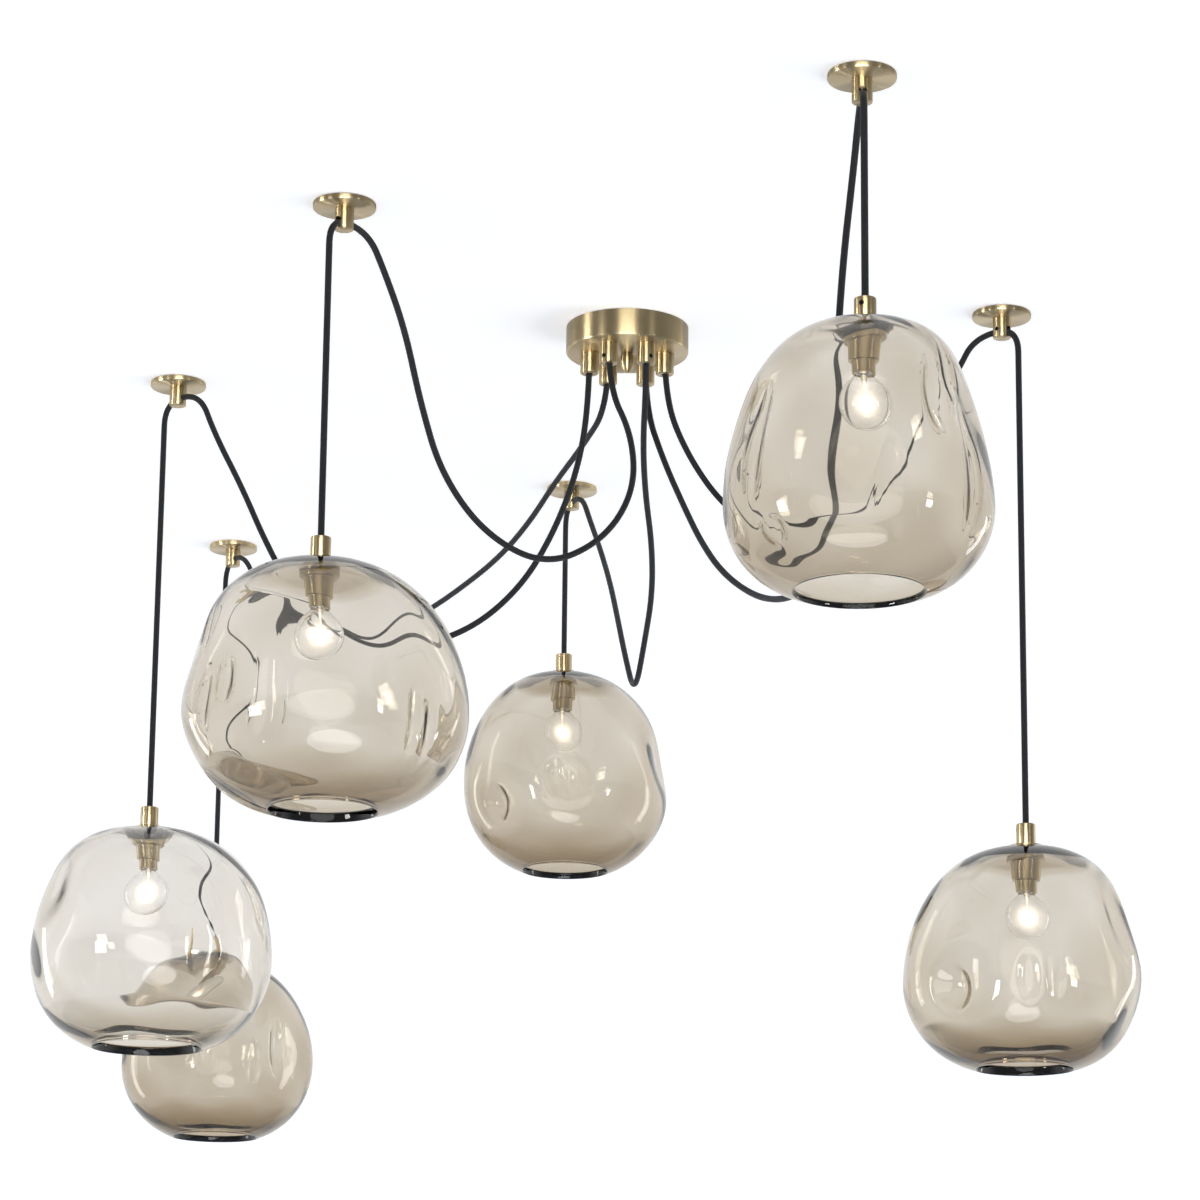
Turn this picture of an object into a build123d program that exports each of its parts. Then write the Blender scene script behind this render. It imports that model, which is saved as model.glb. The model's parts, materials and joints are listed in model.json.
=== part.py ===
from build123d import *
from math import acos, asin, cos, exp, pi, radians, sin, sqrt, tan
import os

# Six-light swag chandelier. The ceiling is the plane z = 0 and the canopy hangs at the origin.
# One canopy feeds six cords. Each cord swags to its own ceiling hook, runs through the hook's
# post and drops to a hand-blown glass shade with a bulb inside. Millimetres, +Z up.

# Cord: cloth-covered round cable
CORD_D = 7.0
CORD_BORE_CLEAR = 0.5
CORD_END_GAP = 0.3
CORD_LEAD = 27.0
CORD_STUB = 0.5

# Canopy: spun brass cup on a crossbar
CANOPY_D = 140.0
CANOPY_DEPTH = 31.0
CANOPY_WALL = 1.5
CANOPY_EDGE_R = 2.5
GRIP_INSET = 27.0
CROSSBAR_END = 11.0
CROSSBAR_W = 18.0
CROSSBAR_T = 2.5
BOX_SCREW_SPACING = 70.0
BOX_SLOT_W = 5.0
BOX_SLOT_LEN = 12.0
NIPPLE_D = 9.5
NIPPLE_CLEAR = 0.25
NUT_WALL = 2.5
NUT_H = 5.0
FINIAL_D = 17.0
FINIAL_FACE_D = 13.0
FINIAL_LEN = 22.0
FINIAL_BORE_DEPTH = 9.0
FINIAL_CLEAR = 0.2

# Terminal block under the crossbar, where the cords meet the house wiring
BLOCK_W = 34.0
BLOCK_DEPTH = 14.0
BLOCK_H = 11.0
BLOCK_POLES = 3
BLOCK_WIRE_HOLE_D = 4.0
BLOCK_SCREW_HOLE_D = 4.6
BLOCK_SCREW_DEPTH = 3.0

# Cord grip: turned brass barrel, the same at the canopy and on every shade
GRIP_D = 21.0
GRIP_LEN = 24.0
GRIP_EDGE = 0.8
GRIP_SCREW_FROM_END = 7.0
CANOPY_STUD_D = 12.0
CANOPY_STUD_LEN = 8.5
STUD_CLEAR = 0.1

# Grub screw that clamps the cord in a grip or a post
GRUB_D = 5.0
GRUB_CLEAR = 0.1
GRUB_RECESS = 0.5
GRUB_KEY_ACROSS_FLATS = 2.5
GRUB_KEY_DEPTH = 2.2

# Ceiling hook: round plate with a cross-bored post
PLATE_D = 66.0
PLATE_T = 6.0
PLATE_EDGE = 1.2
POST_D = 20.0
POST_LEN = 23.0
POST_EDGE = 0.8
POST_BORE_UP = 9.0
POST_STUD_D = 12.0
CEILING_THREAD_D = 5.0
CEILING_THREAD_DEPTH = 12.5
CEILING_THREAD_INSET = 0.5
HOOK_BEND = 12.0
HOOK_LEAD = 27.5
HOOK_FALL = 26.0

# Fitting on top of and inside each shade
FLANGE_LIP = 4.5
FLANGE_T = 3.0
FLANGE_EDGE = 0.8
SHADE_STUD_D = 10.0
SHADE_STUD_REACH = 3.0
SHADE_HOLE_CLEAR = 0.5
WIRE_BORE_D = 6.0
GRIP_FLOOR = 4.0
HOLDER_FLANGE_H = 5.0
HOLDER_STEP = 3.0
HOLDER_CUP_LEN = 20.0
HOLDER_SLEEVE_WALL = 2.0
HOLDER_SLEEVE_LEN = 13.0
HOLDER_CAP_T = 6.0
HOLDER_EDGE = 1.0
SEAT_CLEAR = 0.05
SOCKET_WALL = 3.3
SOCKET_CLEAR = 0.1
SOCKET_RECESS = 1.5
CONTACT_HOLE_D = 4.0

# Bulb: small clear globe lamp on a candelabra base
BULB_D = 51.0
BULB_BASE_D = 11.8
BULB_BASE_LEN = 20.0
BULB_CLEAR = 0.3
BULB_GLASS = 0.9
BULB_SHOULDER_DEG = 50.0

# Blown-glass shade: thin at the belly, thick at the crown and the lip
GLASS_WALL = 3.0
GLASS_CROWN = 10.0
GLASS_LIP = 7.0
GLASS_SEAT_MARGIN = 2.0
GLASS_RINGS = 12
GLASS_POINTS = 28

# Each lamp: its hook on the ceiling, the direction its swag leaves the post (degrees from +X),
# its place on the canopy (degrees), the direction of its grip's clamping screw, and the glass
# seat's height below the ceiling. Then the glass: width, height, mouth, belly (depth of the
# widest ring below the seat), fullness (a low number fills out the shoulder), lean (how far the
# belly and the mouth stand to +X of the cord), ovalness, the direction of the long axis, and
# dents as (direction, depth below the seat, dent, spread). Free points of the swag run from
# the canopy to the hook.
LAMPS = [
    dict(
        hook=(216, -736), bore=90, grip=60, clamp=246, seat=260,
        width=246, height=256, mouth=120, belly=175, fullness=0.65, lean=-7, oval=0.02, long_axis=10,
        dents=[(205, 89, 12, 42), (330, 99, 12, 46), (262, 184, 9, 44), (30, 144, 8, 44), (350, 45, 8, 55)],
        swag=[
            (43, 17, -153), (64, -25, -216), (83, -75, -274), (105, -130, -325), (135, -190, -366),
            (159, -260, -391), (179, -335, -403), (192, -412, -401), (198, -490, -389),
            (199, -562, -358), (198, -602, -294), (200, -618, -217), (205, -636, -141), (212, -668, -72),
        ],
    ),
    dict(
        hook=(-299, -383), bore=52, grip=240, clamp=142, seat=394,
        width=287, height=258, mouth=110, belly=158, fullness=0.8, lean=9, oval=0.015, long_axis=20,
        dents=[(215, 125, 11, 44), (190, 90, 8, 40), (322, 150, 12, 46), (282, 70, 7, 46), (180, 215, 5, 45)],
        swag=[
            (6, -67, -149), (9, -96, -223), (-25, -127, -289), (-87, -160, -328), (-152, -196, -304),
            (-199, -234, -248), (-221, -273, -181), (-237, -312, -113), (-258, -343, -60),
        ],
    ),
    dict(
        hook=(-538, 214), bore=320, grip=180, clamp=50, seat=546,
        width=290, height=258, mouth=127, belly=144, fullness=0.8, lean=7, oval=0.015, long_axis=80,
        dents=[(300, 97, 6, 50), (20, 92, 9, 48), (200, 172, 6, 50), (180, 50, 24, 62)],
        swag=[
            (-53, 20, -156), (-80, 41, -229), (-120, 61, -294), (-181, 81, -341), (-257, 100, -357),
            (-331, 119, -339), (-385, 137, -283), (-422, 154, -214), (-453, 171, -143), (-489, 187, -73),
        ],
    ),
    dict(
        hook=(-540, 930), bore=300.7, grip=120, clamp=30, seat=577,
        width=252, height=246, mouth=112, belly=146, fullness=0.8, lean=11, oval=0.025, long_axis=0,
        dents=[(325, 140, 10, 46), (230, 175, 10, 46), (280, 90, 7, 46)],
        swag=[
            (-51, 124, -103), (-84, 210, -122), (-115, 295, -146), (-152, 378, -166),
            (-197, 460, -180), (-245, 539, -192), (-296, 617, -198), (-353, 692, -190),
            (-409, 762, -165), (-458, 830, -124), (-500, 893, -72),
        ],
    ),
    dict(
        hook=(-67, 633), bore=290.4, grip=300, clamp=60, seat=248,
        width=263, height=261, mouth=109, belly=152, fullness=0.85, lean=5, oval=0.02, long_axis=30,
        dents=[(225, 187, 15, 42), (275, 167, 9, 44), (350, 120, 12, 44), (320, 77, 6, 44)],
        swag=[
            (19, 25, -128), (23, 87, -171), (32, 149, -213), (34, 212, -256), (26, 274, -299),
            (15, 336, -352), (3, 386, -288), (-6, 436, -229), (-15, 486, -172), (-27, 535, -116),
            (-42, 583, -60),
        ],
    ),
    dict(
        hook=(422, -63), bore=138.7, grip=0, clamp=180, seat=618,
        width=252, height=242, mouth=104, belly=150, fullness=0.75, lean=-5, oval=0.03, long_axis=0,
        dents=[(5, 70, 22, 48), (230, 165, 14, 42), (300, 105, 7, 46), (345, 205, 13, 46)],
        swag=[
            (68, -5, -150), (110, -10, -214), (172, -15, -259), (247, -21, -248), (300, -26, -193),
            (337, -31, -126), (374, -38, -60),
        ],
    ),
]

CORD_R = CORD_D / 2
CORD_BORE_D = CORD_D + 2 * CORD_BORE_CLEAR
GRUB_LEN = (GRIP_D - CORD_D) / 2 - GRUB_CLEAR - GRUB_RECESS
HOOK_GRUB_LEN = (POST_D - CORD_D) / 2 - GRUB_CLEAR - GRUB_RECESS
CANOPY_FLOOR_TOP = -CANOPY_DEPTH + CANOPY_WALL
GRIP_CIRCLE_R = CANOPY_D / 2 - GRIP_INSET
CROSSBAR_LEN = BOX_SCREW_SPACING + BOX_SLOT_LEN + 2 * CROSSBAR_END
NUT_ACROSS_FLATS = CANOPY_STUD_D + 2 * NUT_WALL
BORE_Z = -PLATE_T - POST_LEN + POST_BORE_UP
PIVOT_Z = BORE_Z - HOOK_FALL - CORD_END_GAP - CORD_R
SOCKET_D = BULB_BASE_D + 2 * BULB_CLEAR + 2 * SOCKET_WALL
HOLDER_SLEEVE_D = SOCKET_D + 2 * HOLDER_SLEEVE_WALL
HOLDER_CUP_D = HOLDER_SLEEVE_D + 2 * HOLDER_STEP
FLANGE_D = HOLDER_CUP_D + 2 * FLANGE_LIP
GLASS_SEAT_R = FLANGE_D / 2 + GLASS_SEAT_MARGIN
HOLDER_TOP = -GLASS_CROWN - SEAT_CLEAR
HOLDER_CUP_TOP = HOLDER_TOP - HOLDER_FLANGE_H
HOLDER_SLEEVE_TOP = HOLDER_CUP_TOP - HOLDER_CUP_LEN
HOLDER_END = HOLDER_SLEEVE_TOP - HOLDER_SLEEVE_LEN
SOCKET_TOP = HOLDER_TOP - HOLDER_CAP_T
SOCKET_END = HOLDER_END + SOCKET_RECESS
BULB_R = BULB_D / 2
BULB_BASE_R = BULB_BASE_D / 2
BULB_TIP = HOLDER_END + BULB_BASE_LEN


def rod(diameter, bottom, top):
    """A round bar on the Z axis between two heights."""
    return Pos(0, 0, (bottom + top) / 2) * Cylinder(diameter / 2, top - bottom)


def side_rod(diameter, start, end, direction, height):
    """A round bar that lies level, from one radius to another, at an angle in plan."""
    bar = Pos((start + end) / 2, 0, height) * Rot(0, 90, 0) * Cylinder(diameter / 2, end - start)
    return Rot(0, 0, direction) * bar


def around(radius, degrees):
    """The point at an angle on a circle about the Z axis."""
    return radius * cos(radians(degrees)), radius * sin(radians(degrees))


def grub_screw(length, barrel_d, direction, height):
    """A headless clamping screw in the side of a barrel, with a hexagon key socket."""
    outer = barrel_d / 2 - GRUB_RECESS
    screw = side_rod(GRUB_D, outer - length, outer, 0, height)
    key_plane = Plane((outer - GRUB_KEY_DEPTH, 0, height), z_dir=(1, 0, 0))
    hexagon = RegularPolygon(GRUB_KEY_ACROSS_FLATS / 2, 6, major_radius=False)
    key = extrude(key_plane * hexagon, GRUB_KEY_DEPTH)
    return Rot(0, 0, direction) * (screw - key)


def grub_hole(barrel_d, direction, height):
    """The side hole that a clamping screw sits in."""
    return side_rod(GRUB_D + 2 * GRUB_CLEAR, 0, barrel_d, direction, height)


# Canopy
def canopy_cup():
    cup = rod(CANOPY_D, -CANOPY_DEPTH, 0)
    cup = fillet(cup.edges().group_by(Axis.Z)[0], CANOPY_EDGE_R)
    cup -= rod(CANOPY_D - 2 * CANOPY_WALL, CANOPY_FLOOR_TOP, CANOPY_WALL)
    cup -= rod(NIPPLE_D + 2 * NIPPLE_CLEAR, -2 * CANOPY_DEPTH, 0)
    for lamp in LAMPS:
        cup -= Pos(*around(GRIP_CIRCLE_R, lamp["grip"])) * rod(
            CANOPY_STUD_D + 2 * STUD_CLEAR, -2 * CANOPY_DEPTH, 0
        )
    return cup


def canopy_crossbar():
    bar = Pos(0, 0, -CROSSBAR_T / 2) * Box(CROSSBAR_W, CROSSBAR_LEN, CROSSBAR_T)
    bar = fillet(bar.edges().filter_by(Axis.Z), CROSSBAR_W / 3)
    bar -= rod(NIPPLE_D + 2 * NIPPLE_CLEAR, -2 * CROSSBAR_T, CROSSBAR_T)
    slot = extrude(SlotOverall(BOX_SLOT_LEN, BOX_SLOT_W, rotation=90), CROSSBAR_T, both=True)
    for side in (-1, 1):
        bar -= Pos(0, side * BOX_SCREW_SPACING / 2, 0) * slot
    return bar


def canopy_nipple():
    return rod(NIPPLE_D, -CANOPY_DEPTH - FINIAL_BORE_DEPTH + FINIAL_CLEAR, 0)


def hex_nut(bore_d, bottom):
    nut = extrude(RegularPolygon(NUT_ACROSS_FLATS / 2, 6, major_radius=False), NUT_H)
    return Pos(0, 0, bottom) * nut - rod(bore_d, bottom - NUT_H, bottom + 2 * NUT_H)


def canopy_nuts():
    nuts = [hex_nut(NIPPLE_D + 2 * STUD_CLEAR, -CROSSBAR_T - NUT_H)]
    grip_nut = hex_nut(CANOPY_STUD_D + 2 * STUD_CLEAR, CANOPY_FLOOR_TOP)
    nuts += [Pos(*around(GRIP_CIRCLE_R, lamp["grip"])) * grip_nut for lamp in LAMPS]
    return nuts


def canopy_finial():
    """An egg-shaped knob, flat on top, that screws on the nipple and holds the cup up."""
    top = -CANOPY_DEPTH - FINIAL_CLEAR
    above = sqrt(1 - (FINIAL_FACE_D / FINIAL_D) ** 2)
    half_len = FINIAL_LEN / (1 + above)
    egg = scale(Sphere(FINIAL_D / 2), by=(1, 1, 2 * half_len / FINIAL_D))
    knob = Pos(0, 0, top - above * half_len) * egg
    knob -= rod(2 * FINIAL_D, top, top + FINIAL_LEN)
    return knob - rod(NIPPLE_D + 2 * STUD_CLEAR, top - FINIAL_BORE_DEPTH, top)


def terminal_block():
    """A moulded connector block with one wire hole and one screw well for each pole."""
    place = NUT_ACROSS_FLATS / 2 / cos(pi / 6) + BLOCK_DEPTH / 2
    block = Box(BLOCK_W, BLOCK_DEPTH, BLOCK_H)
    block = fillet(block.edges().filter_by(Axis.Y), BLOCK_H / 8)
    pitch = BLOCK_W / BLOCK_POLES
    for pole in range(BLOCK_POLES):
        across = (pole - (BLOCK_POLES - 1) / 2) * pitch
        block -= Pos(across, 0, 0) * Rot(90, 0, 0) * Cylinder(BLOCK_WIRE_HOLE_D / 2, 2 * BLOCK_DEPTH)
        well = Cylinder(BLOCK_SCREW_HOLE_D / 2, BLOCK_SCREW_DEPTH)
        block -= Pos(across, 0, (BLOCK_SCREW_DEPTH - BLOCK_H) / 2) * well
    return Pos(0, place, -CROSSBAR_T - BLOCK_H / 2) * block


def canopy_cord_grip(lamp):
    """The barrel under the canopy, with its hollow stud through the cup's floor."""
    top = -CANOPY_DEPTH
    end = top - GRIP_LEN
    barrel = rod(GRIP_D, end, top)
    barrel = chamfer(barrel.edges().group_by(Axis.Z)[0], GRIP_EDGE)
    barrel += rod(CANOPY_STUD_D, top, top + CANOPY_STUD_LEN)
    barrel -= rod(CORD_BORE_D, end, top + CANOPY_STUD_LEN)
    barrel -= grub_hole(GRIP_D, lamp["grip"], end + GRIP_SCREW_FROM_END)
    return Pos(*around(GRIP_CIRCLE_R, lamp["grip"])) * barrel


def canopy_clamp_screw(lamp):
    height = -CANOPY_DEPTH - GRIP_LEN + GRIP_SCREW_FROM_END
    screw = grub_screw(GRUB_LEN, GRIP_D, lamp["grip"], height)
    return Pos(*around(GRIP_CIRCLE_R, lamp["grip"])) * screw


# Ceiling hooks
def hook_plate(lamp):
    plate = rod(PLATE_D, -PLATE_T, 0)
    plate = chamfer(plate.edges().group_by(Axis.Z)[0], PLATE_EDGE)
    plate -= rod(POST_STUD_D + 2 * STUD_CLEAR, -2 * PLATE_T, PLATE_T)
    return Pos(*lamp["hook"]) * plate


def hook_post(lamp):
    """The post under the plate: threaded on top for a ceiling bolt and bored across for the cord."""
    end = -PLATE_T - POST_LEN
    post = rod(POST_D, end, -PLATE_T)
    post = chamfer(post.edges().group_by(Axis.Z)[0], POST_EDGE)
    post += rod(POST_STUD_D, -PLATE_T, -CEILING_THREAD_INSET)
    post -= rod(CEILING_THREAD_D, -CEILING_THREAD_INSET - CEILING_THREAD_DEPTH, PLATE_T)
    post -= side_rod(CORD_BORE_D, -POST_D, POST_D, lamp["bore"], BORE_Z)
    post -= grub_hole(POST_D, lamp["bore"] + 90, BORE_Z)
    return Pos(*lamp["hook"]) * post


def hook_clamp_screw(lamp):
    return Pos(*lamp["hook"]) * grub_screw(HOOK_GRUB_LEN, POST_D, lamp["bore"] + 90, BORE_Z)


# Cords
def drop_place(lamp):
    """Where the cord hangs straight down, beside its hook's post."""
    x, y = around(POST_D / 2 + HOOK_BEND, lamp["bore"])
    return lamp["hook"][0] - x, lamp["hook"][1] - y


def swag_route(lamp):
    """From inside the canopy, down its grip, along the swag, through the post and down."""
    grip_x, grip_y = around(GRIP_CIRCLE_R, lamp["grip"])
    start = -CANOPY_DEPTH + CANOPY_STUD_LEN + CORD_STUB
    lead = -CANOPY_DEPTH - GRIP_LEN - CORD_LEAD
    mouth_x, mouth_y = around(POST_D / 2 + HOOK_LEAD, lamp["bore"])
    drop_x, drop_y = drop_place(lamp)
    return [
        Vector(grip_x, grip_y, start),
        Vector(grip_x, grip_y, lead),
        *[Vector(*point) for point in lamp["swag"]],
        Vector(lamp["hook"][0] + mouth_x, lamp["hook"][1] + mouth_y, BORE_Z),
        Vector(drop_x, drop_y, BORE_Z),
        Vector(drop_x, drop_y, BORE_Z - HOOK_FALL),
    ]


def bend_radii(route):
    """The largest arc that each corner's two runs leave room for."""
    radii = []
    for before, here, after in zip(route, route[1:], route[2:]):
        run_in, run_out = here - before, after - here
        turn = radians(run_in.get_angle(run_out))
        radii.append(0.45 * min(run_in.length, run_out.length) / tan(turn / 2))
    return radii


def swag_cord(lamp):
    route = swag_route(lamp)
    radii = bend_radii(route)
    path = FilletPolyline(*route, radius=radii)
    tube = sweep(Plane(path @ 0, z_dir=path % 0) * Circle(CORD_R), path=path)
    share = tube.volume / (pi * CORD_R**2 * path.length)
    print("swag", round(path.length), "mm, section share", round(share, 4), [round(r) for r in radii])
    return tube


def drop_cord(lamp):
    """The straight fall under the hook. Its rounded top turns under the end of the swag."""
    bottom = -lamp["seat"] + FLANGE_T + GRIP_FLOOR
    fall = rod(CORD_D, bottom, PIVOT_Z) + Pos(0, 0, PIVOT_Z) * Sphere(CORD_R)
    return Pos(*drop_place(lamp)) * fall


# Fittings of one lamp, drawn with the glass seat at z = 0
def at_seat(lamp, piece):
    x, y = drop_place(lamp)
    return Pos(x, y, -lamp["seat"]) * piece


def cord_grip(lamp):
    """The barrel on the shade. Its stud goes through the glass and carries the lampholder."""
    top = FLANGE_T + GRIP_LEN
    barrel = rod(GRIP_D, FLANGE_T, top)
    barrel = chamfer(barrel.edges().group_by(Axis.Z)[-1], GRIP_EDGE)
    barrel += rod(SHADE_STUD_D, HOLDER_TOP - SHADE_STUD_REACH, FLANGE_T)
    barrel -= rod(CORD_BORE_D, FLANGE_T + GRIP_FLOOR, top)
    barrel -= rod(WIRE_BORE_D, HOLDER_TOP - SHADE_STUD_REACH, top)
    barrel -= grub_hole(GRIP_D, lamp["clamp"], top - GRIP_SCREW_FROM_END)
    return at_seat(lamp, barrel)


def shade_flange(lamp):
    flange = rod(FLANGE_D, 0, FLANGE_T)
    flange = fillet(flange.edges().group_by(Axis.Z)[-1], FLANGE_EDGE)
    flange -= rod(SHADE_STUD_D + 2 * STUD_CLEAR, -FLANGE_T, 2 * FLANGE_T)
    return at_seat(lamp, flange)


def lampholder(lamp):
    """The stepped brass cup under the glass, open below for the socket."""
    holder = rod(FLANGE_D, HOLDER_CUP_TOP, HOLDER_TOP)
    holder += rod(HOLDER_CUP_D, HOLDER_SLEEVE_TOP, HOLDER_CUP_TOP)
    steps = holder.edges().group_by(Axis.Z)
    holder = fillet(steps[0] + steps[-1], HOLDER_EDGE)
    holder += rod(HOLDER_SLEEVE_D, HOLDER_END, HOLDER_SLEEVE_TOP)
    holder -= rod(SOCKET_D, HOLDER_END, SOCKET_TOP)
    holder -= rod(SHADE_STUD_D + 2 * STUD_CLEAR, SOCKET_TOP, HOLDER_TOP)
    return at_seat(lamp, holder)


def lamp_socket(lamp):
    """The insulating insert that takes the bulb's base."""
    socket = rod(SOCKET_D - 2 * SOCKET_CLEAR, SOCKET_END, SOCKET_TOP)
    socket -= rod(BULB_BASE_D + 2 * BULB_CLEAR, SOCKET_END, BULB_TIP + BULB_CLEAR)
    socket -= rod(CONTACT_HOLE_D, SOCKET_END, SOCKET_TOP)
    return at_seat(lamp, socket)


def bulb_half(radius, base_r, centre, base_end):
    """A round envelope that runs tangent into its neck, as half a section."""
    shoulder = radians(BULB_SHOULDER_DEG)
    lean = radius * cos(shoulder) - base_r
    tangent_r, tangent_z = radius * cos(shoulder), centre + radius * sin(shoulder)
    neck_z = tangent_z + lean / tan(shoulder)
    arc = ThreePointArc((0, 0, centre - radius), (radius, 0, centre), (tangent_r, 0, tangent_z))
    sides = Polyline(
        (tangent_r, 0, tangent_z), (base_r, 0, neck_z), (base_r, 0, base_end),
        (0, 0, base_end), (0, 0, centre - radius),
    )
    return make_face(arc + sides)


def bulb_centre():
    """The envelope's centre, set so that its neck meets the holder's mouth."""
    shoulder = radians(BULB_SHOULDER_DEG)
    lean = BULB_R * cos(shoulder) - BULB_BASE_R
    return HOLDER_END - BULB_R * sin(shoulder) - lean / tan(shoulder)


def bulb(lamp):
    """A thin clear envelope, hollow up through its base."""
    centre = bulb_centre()
    outside = bulb_half(BULB_R, BULB_BASE_R, centre, BULB_TIP)
    inside = bulb_half(BULB_R - BULB_GLASS, BULB_BASE_R - BULB_GLASS, centre, BULB_TIP)
    return at_seat(lamp, revolve(outside - inside, Axis.Z))


# Blown glass
def ring_angle(lamp, radius):
    """The angle down from the crown at which the plain form has a given radius."""
    return asin((2 * radius / lamp["width"]) ** (1 / lamp["fullness"]))


def glass_ends(lamp):
    """The angles of the two end rings: at the seat and at the mouth."""
    return ring_angle(lamp, GLASS_SEAT_R), pi - ring_angle(lamp, lamp["mouth"] / 2)


def glass_ring(lamp, angle, inset=0, sunk=0):
    """One level ring of the glass as a face: the plain form, ovalled, dented and leaning."""
    half, belly = lamp["width"] / 2, lamp["belly"]
    first, last = glass_ends(lamp)
    reach = belly / cos(first) if angle < pi / 2 else (belly - lamp["height"]) / cos(last)
    height = reach * cos(angle) - belly
    radius = half * sin(angle) ** lamp["fullness"]
    soft = sin(angle) ** 2
    aside = lamp["lean"] * (soft if angle < pi / 2 else 1)
    points = []
    for step in range(GLASS_POINTS):
        turn = 2 * pi * step / GLASS_POINTS
        r = radius * (1 + lamp["oval"] * soft * cos(2 * (turn - radians(lamp["long_axis"]))))
        for direction, depth, dent, spread in lamp["dents"]:
            apart = half * acos(cos(turn - radians(direction)))
            r -= dent * soft * exp(-(apart**2 + (height + depth) ** 2) / spread**2)
        points.append((aside + (r - inset) * cos(turn), (r - inset) * sin(turn), height - sunk))
    return make_face(Spline(*points, periodic=True))


def inner_ring(lamp, angle):
    """The ring of the inner face at the same angle: it sinks at the crown and closes in at the lip."""
    first, last = glass_ends(lamp)
    to_crown = max(0, (pi / 2 - angle) / (pi / 2 - first))
    to_lip = max(0, (angle - pi / 2) / (last - pi / 2))
    inset = GLASS_WALL * (1 - to_crown**2) + (GLASS_LIP - GLASS_WALL) * to_lip**2
    return glass_ring(lamp, angle, inset, GLASS_CROWN * to_crown**2)


def shade(lamp):
    """Blown glass with soft dents: flat on top for the flange and open below."""
    first, last = glass_ends(lamp)
    angles = [first + (last - first) * step / GLASS_RINGS for step in range(GLASS_RINGS + 1)]
    outer = loft([glass_ring(lamp, angle) for angle in angles])
    inner_rings = [inner_ring(lamp, angle) for angle in angles]
    mouth = extrude(inner_rings[-1], 2 * GLASS_LIP, dir=(0, 0, -1))
    glass = outer - loft(inner_rings) - mouth
    glass -= rod(SHADE_STUD_D + 2 * SHADE_HOLE_CLEAR, -2 * GLASS_CROWN, GLASS_CROWN)
    return at_seat(lamp, glass)


def write(name, piece):
    solids = piece if isinstance(piece, list) else [piece]
    solids = [solid for item in solids for solid in item.solids()]
    export_step(solids[0] if len(solids) == 1 else Compound(solids), f"parts/{name}.step")


os.makedirs("parts", exist_ok=True)
write("canopy_cup", canopy_cup())
write("canopy_crossbar", canopy_crossbar())
write("canopy_nipple", canopy_nipple())
write("canopy_nuts", canopy_nuts())
write("canopy_finial", canopy_finial())
write("terminal_block", terminal_block())
write("canopy_cord_grips", [canopy_cord_grip(lamp) for lamp in LAMPS])
write("canopy_clamp_screws", [canopy_clamp_screw(lamp) for lamp in LAMPS])
write("hook_plates", [hook_plate(lamp) for lamp in LAMPS])
write("hook_posts", [hook_post(lamp) for lamp in LAMPS])
write("hook_clamp_screws", [hook_clamp_screw(lamp) for lamp in LAMPS])
for number, lamp in enumerate(LAMPS, 1):
    write(f"swag_cord_{number}", swag_cord(lamp))
    write(f"drop_cord_{number}", drop_cord(lamp))
    write(f"cord_grip_{number}", cord_grip(lamp))
    write(f"shade_flange_{number}", shade_flange(lamp))
    write(f"shade_{number}", shade(lamp))
    write(f"lampholder_{number}", lampholder(lamp))
    write(f"lamp_socket_{number}", lamp_socket(lamp))
    write(f"bulb_{number}", bulb(lamp))
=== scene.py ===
# %% [markdown]
# # A six-light swag chandelier
# One brass canopy feeds six black cloth cords. Each cord swags to its own ceiling hook, goes through
# the hook's post and drops to a dented, hand-blown smoke-glass shade with a small globe bulb inside.
# The construction already exists as a fixed frame in metres, so this lesson only dresses it: every
# new piece is made where the frame says it is.

# %% Load the frame
import json
from math import acos, asin, cos, degrees, pi, radians, sin, tan

import bpy
import numpy as np
from mathutils import Matrix, Vector


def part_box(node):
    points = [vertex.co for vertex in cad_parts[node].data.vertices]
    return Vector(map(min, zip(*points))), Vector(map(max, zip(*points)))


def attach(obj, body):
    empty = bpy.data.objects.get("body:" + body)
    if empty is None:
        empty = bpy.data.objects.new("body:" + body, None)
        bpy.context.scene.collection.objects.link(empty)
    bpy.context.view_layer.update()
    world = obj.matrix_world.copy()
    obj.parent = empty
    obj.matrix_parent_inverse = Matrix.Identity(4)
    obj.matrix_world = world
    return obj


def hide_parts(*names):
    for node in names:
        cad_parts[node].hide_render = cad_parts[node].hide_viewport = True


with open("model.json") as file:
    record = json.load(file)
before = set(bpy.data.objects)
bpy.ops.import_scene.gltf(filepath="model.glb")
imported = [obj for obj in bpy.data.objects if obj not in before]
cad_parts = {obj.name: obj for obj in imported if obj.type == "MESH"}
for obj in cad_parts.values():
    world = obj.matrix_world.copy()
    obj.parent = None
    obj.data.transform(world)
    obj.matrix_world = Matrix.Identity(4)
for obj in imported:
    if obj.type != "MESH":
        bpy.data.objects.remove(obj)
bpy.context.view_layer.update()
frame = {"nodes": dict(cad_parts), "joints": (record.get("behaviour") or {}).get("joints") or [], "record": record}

joints = {joint["name"]: joint for joint in frame["joints"]}
mounts = {mount["name"]: mount for mount in frame["record"]["mounts"]}

# %% [markdown]
# ## What makes each lamp itself
# The hook, the pivot and the seat of the glass come from the frame. The rest is listed here: the
# directions of its canopy grip and of its clamping screw, the points of its swag, and the glass. A
# shade was blown round and then pushed in while it was soft, so its form is a round profile with
# dents. `dents` are broad, and `pinches` are the narrow ones that catch the light. Each is a direction
# in degrees, a depth below the seat, a push and a reach, and a pinch has one reach across and one down.
# `smoke` is how dark the glass is, `cap` is the radius of its thick crown, and `lip_wall` is its
# thickness at the mouth.

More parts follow.
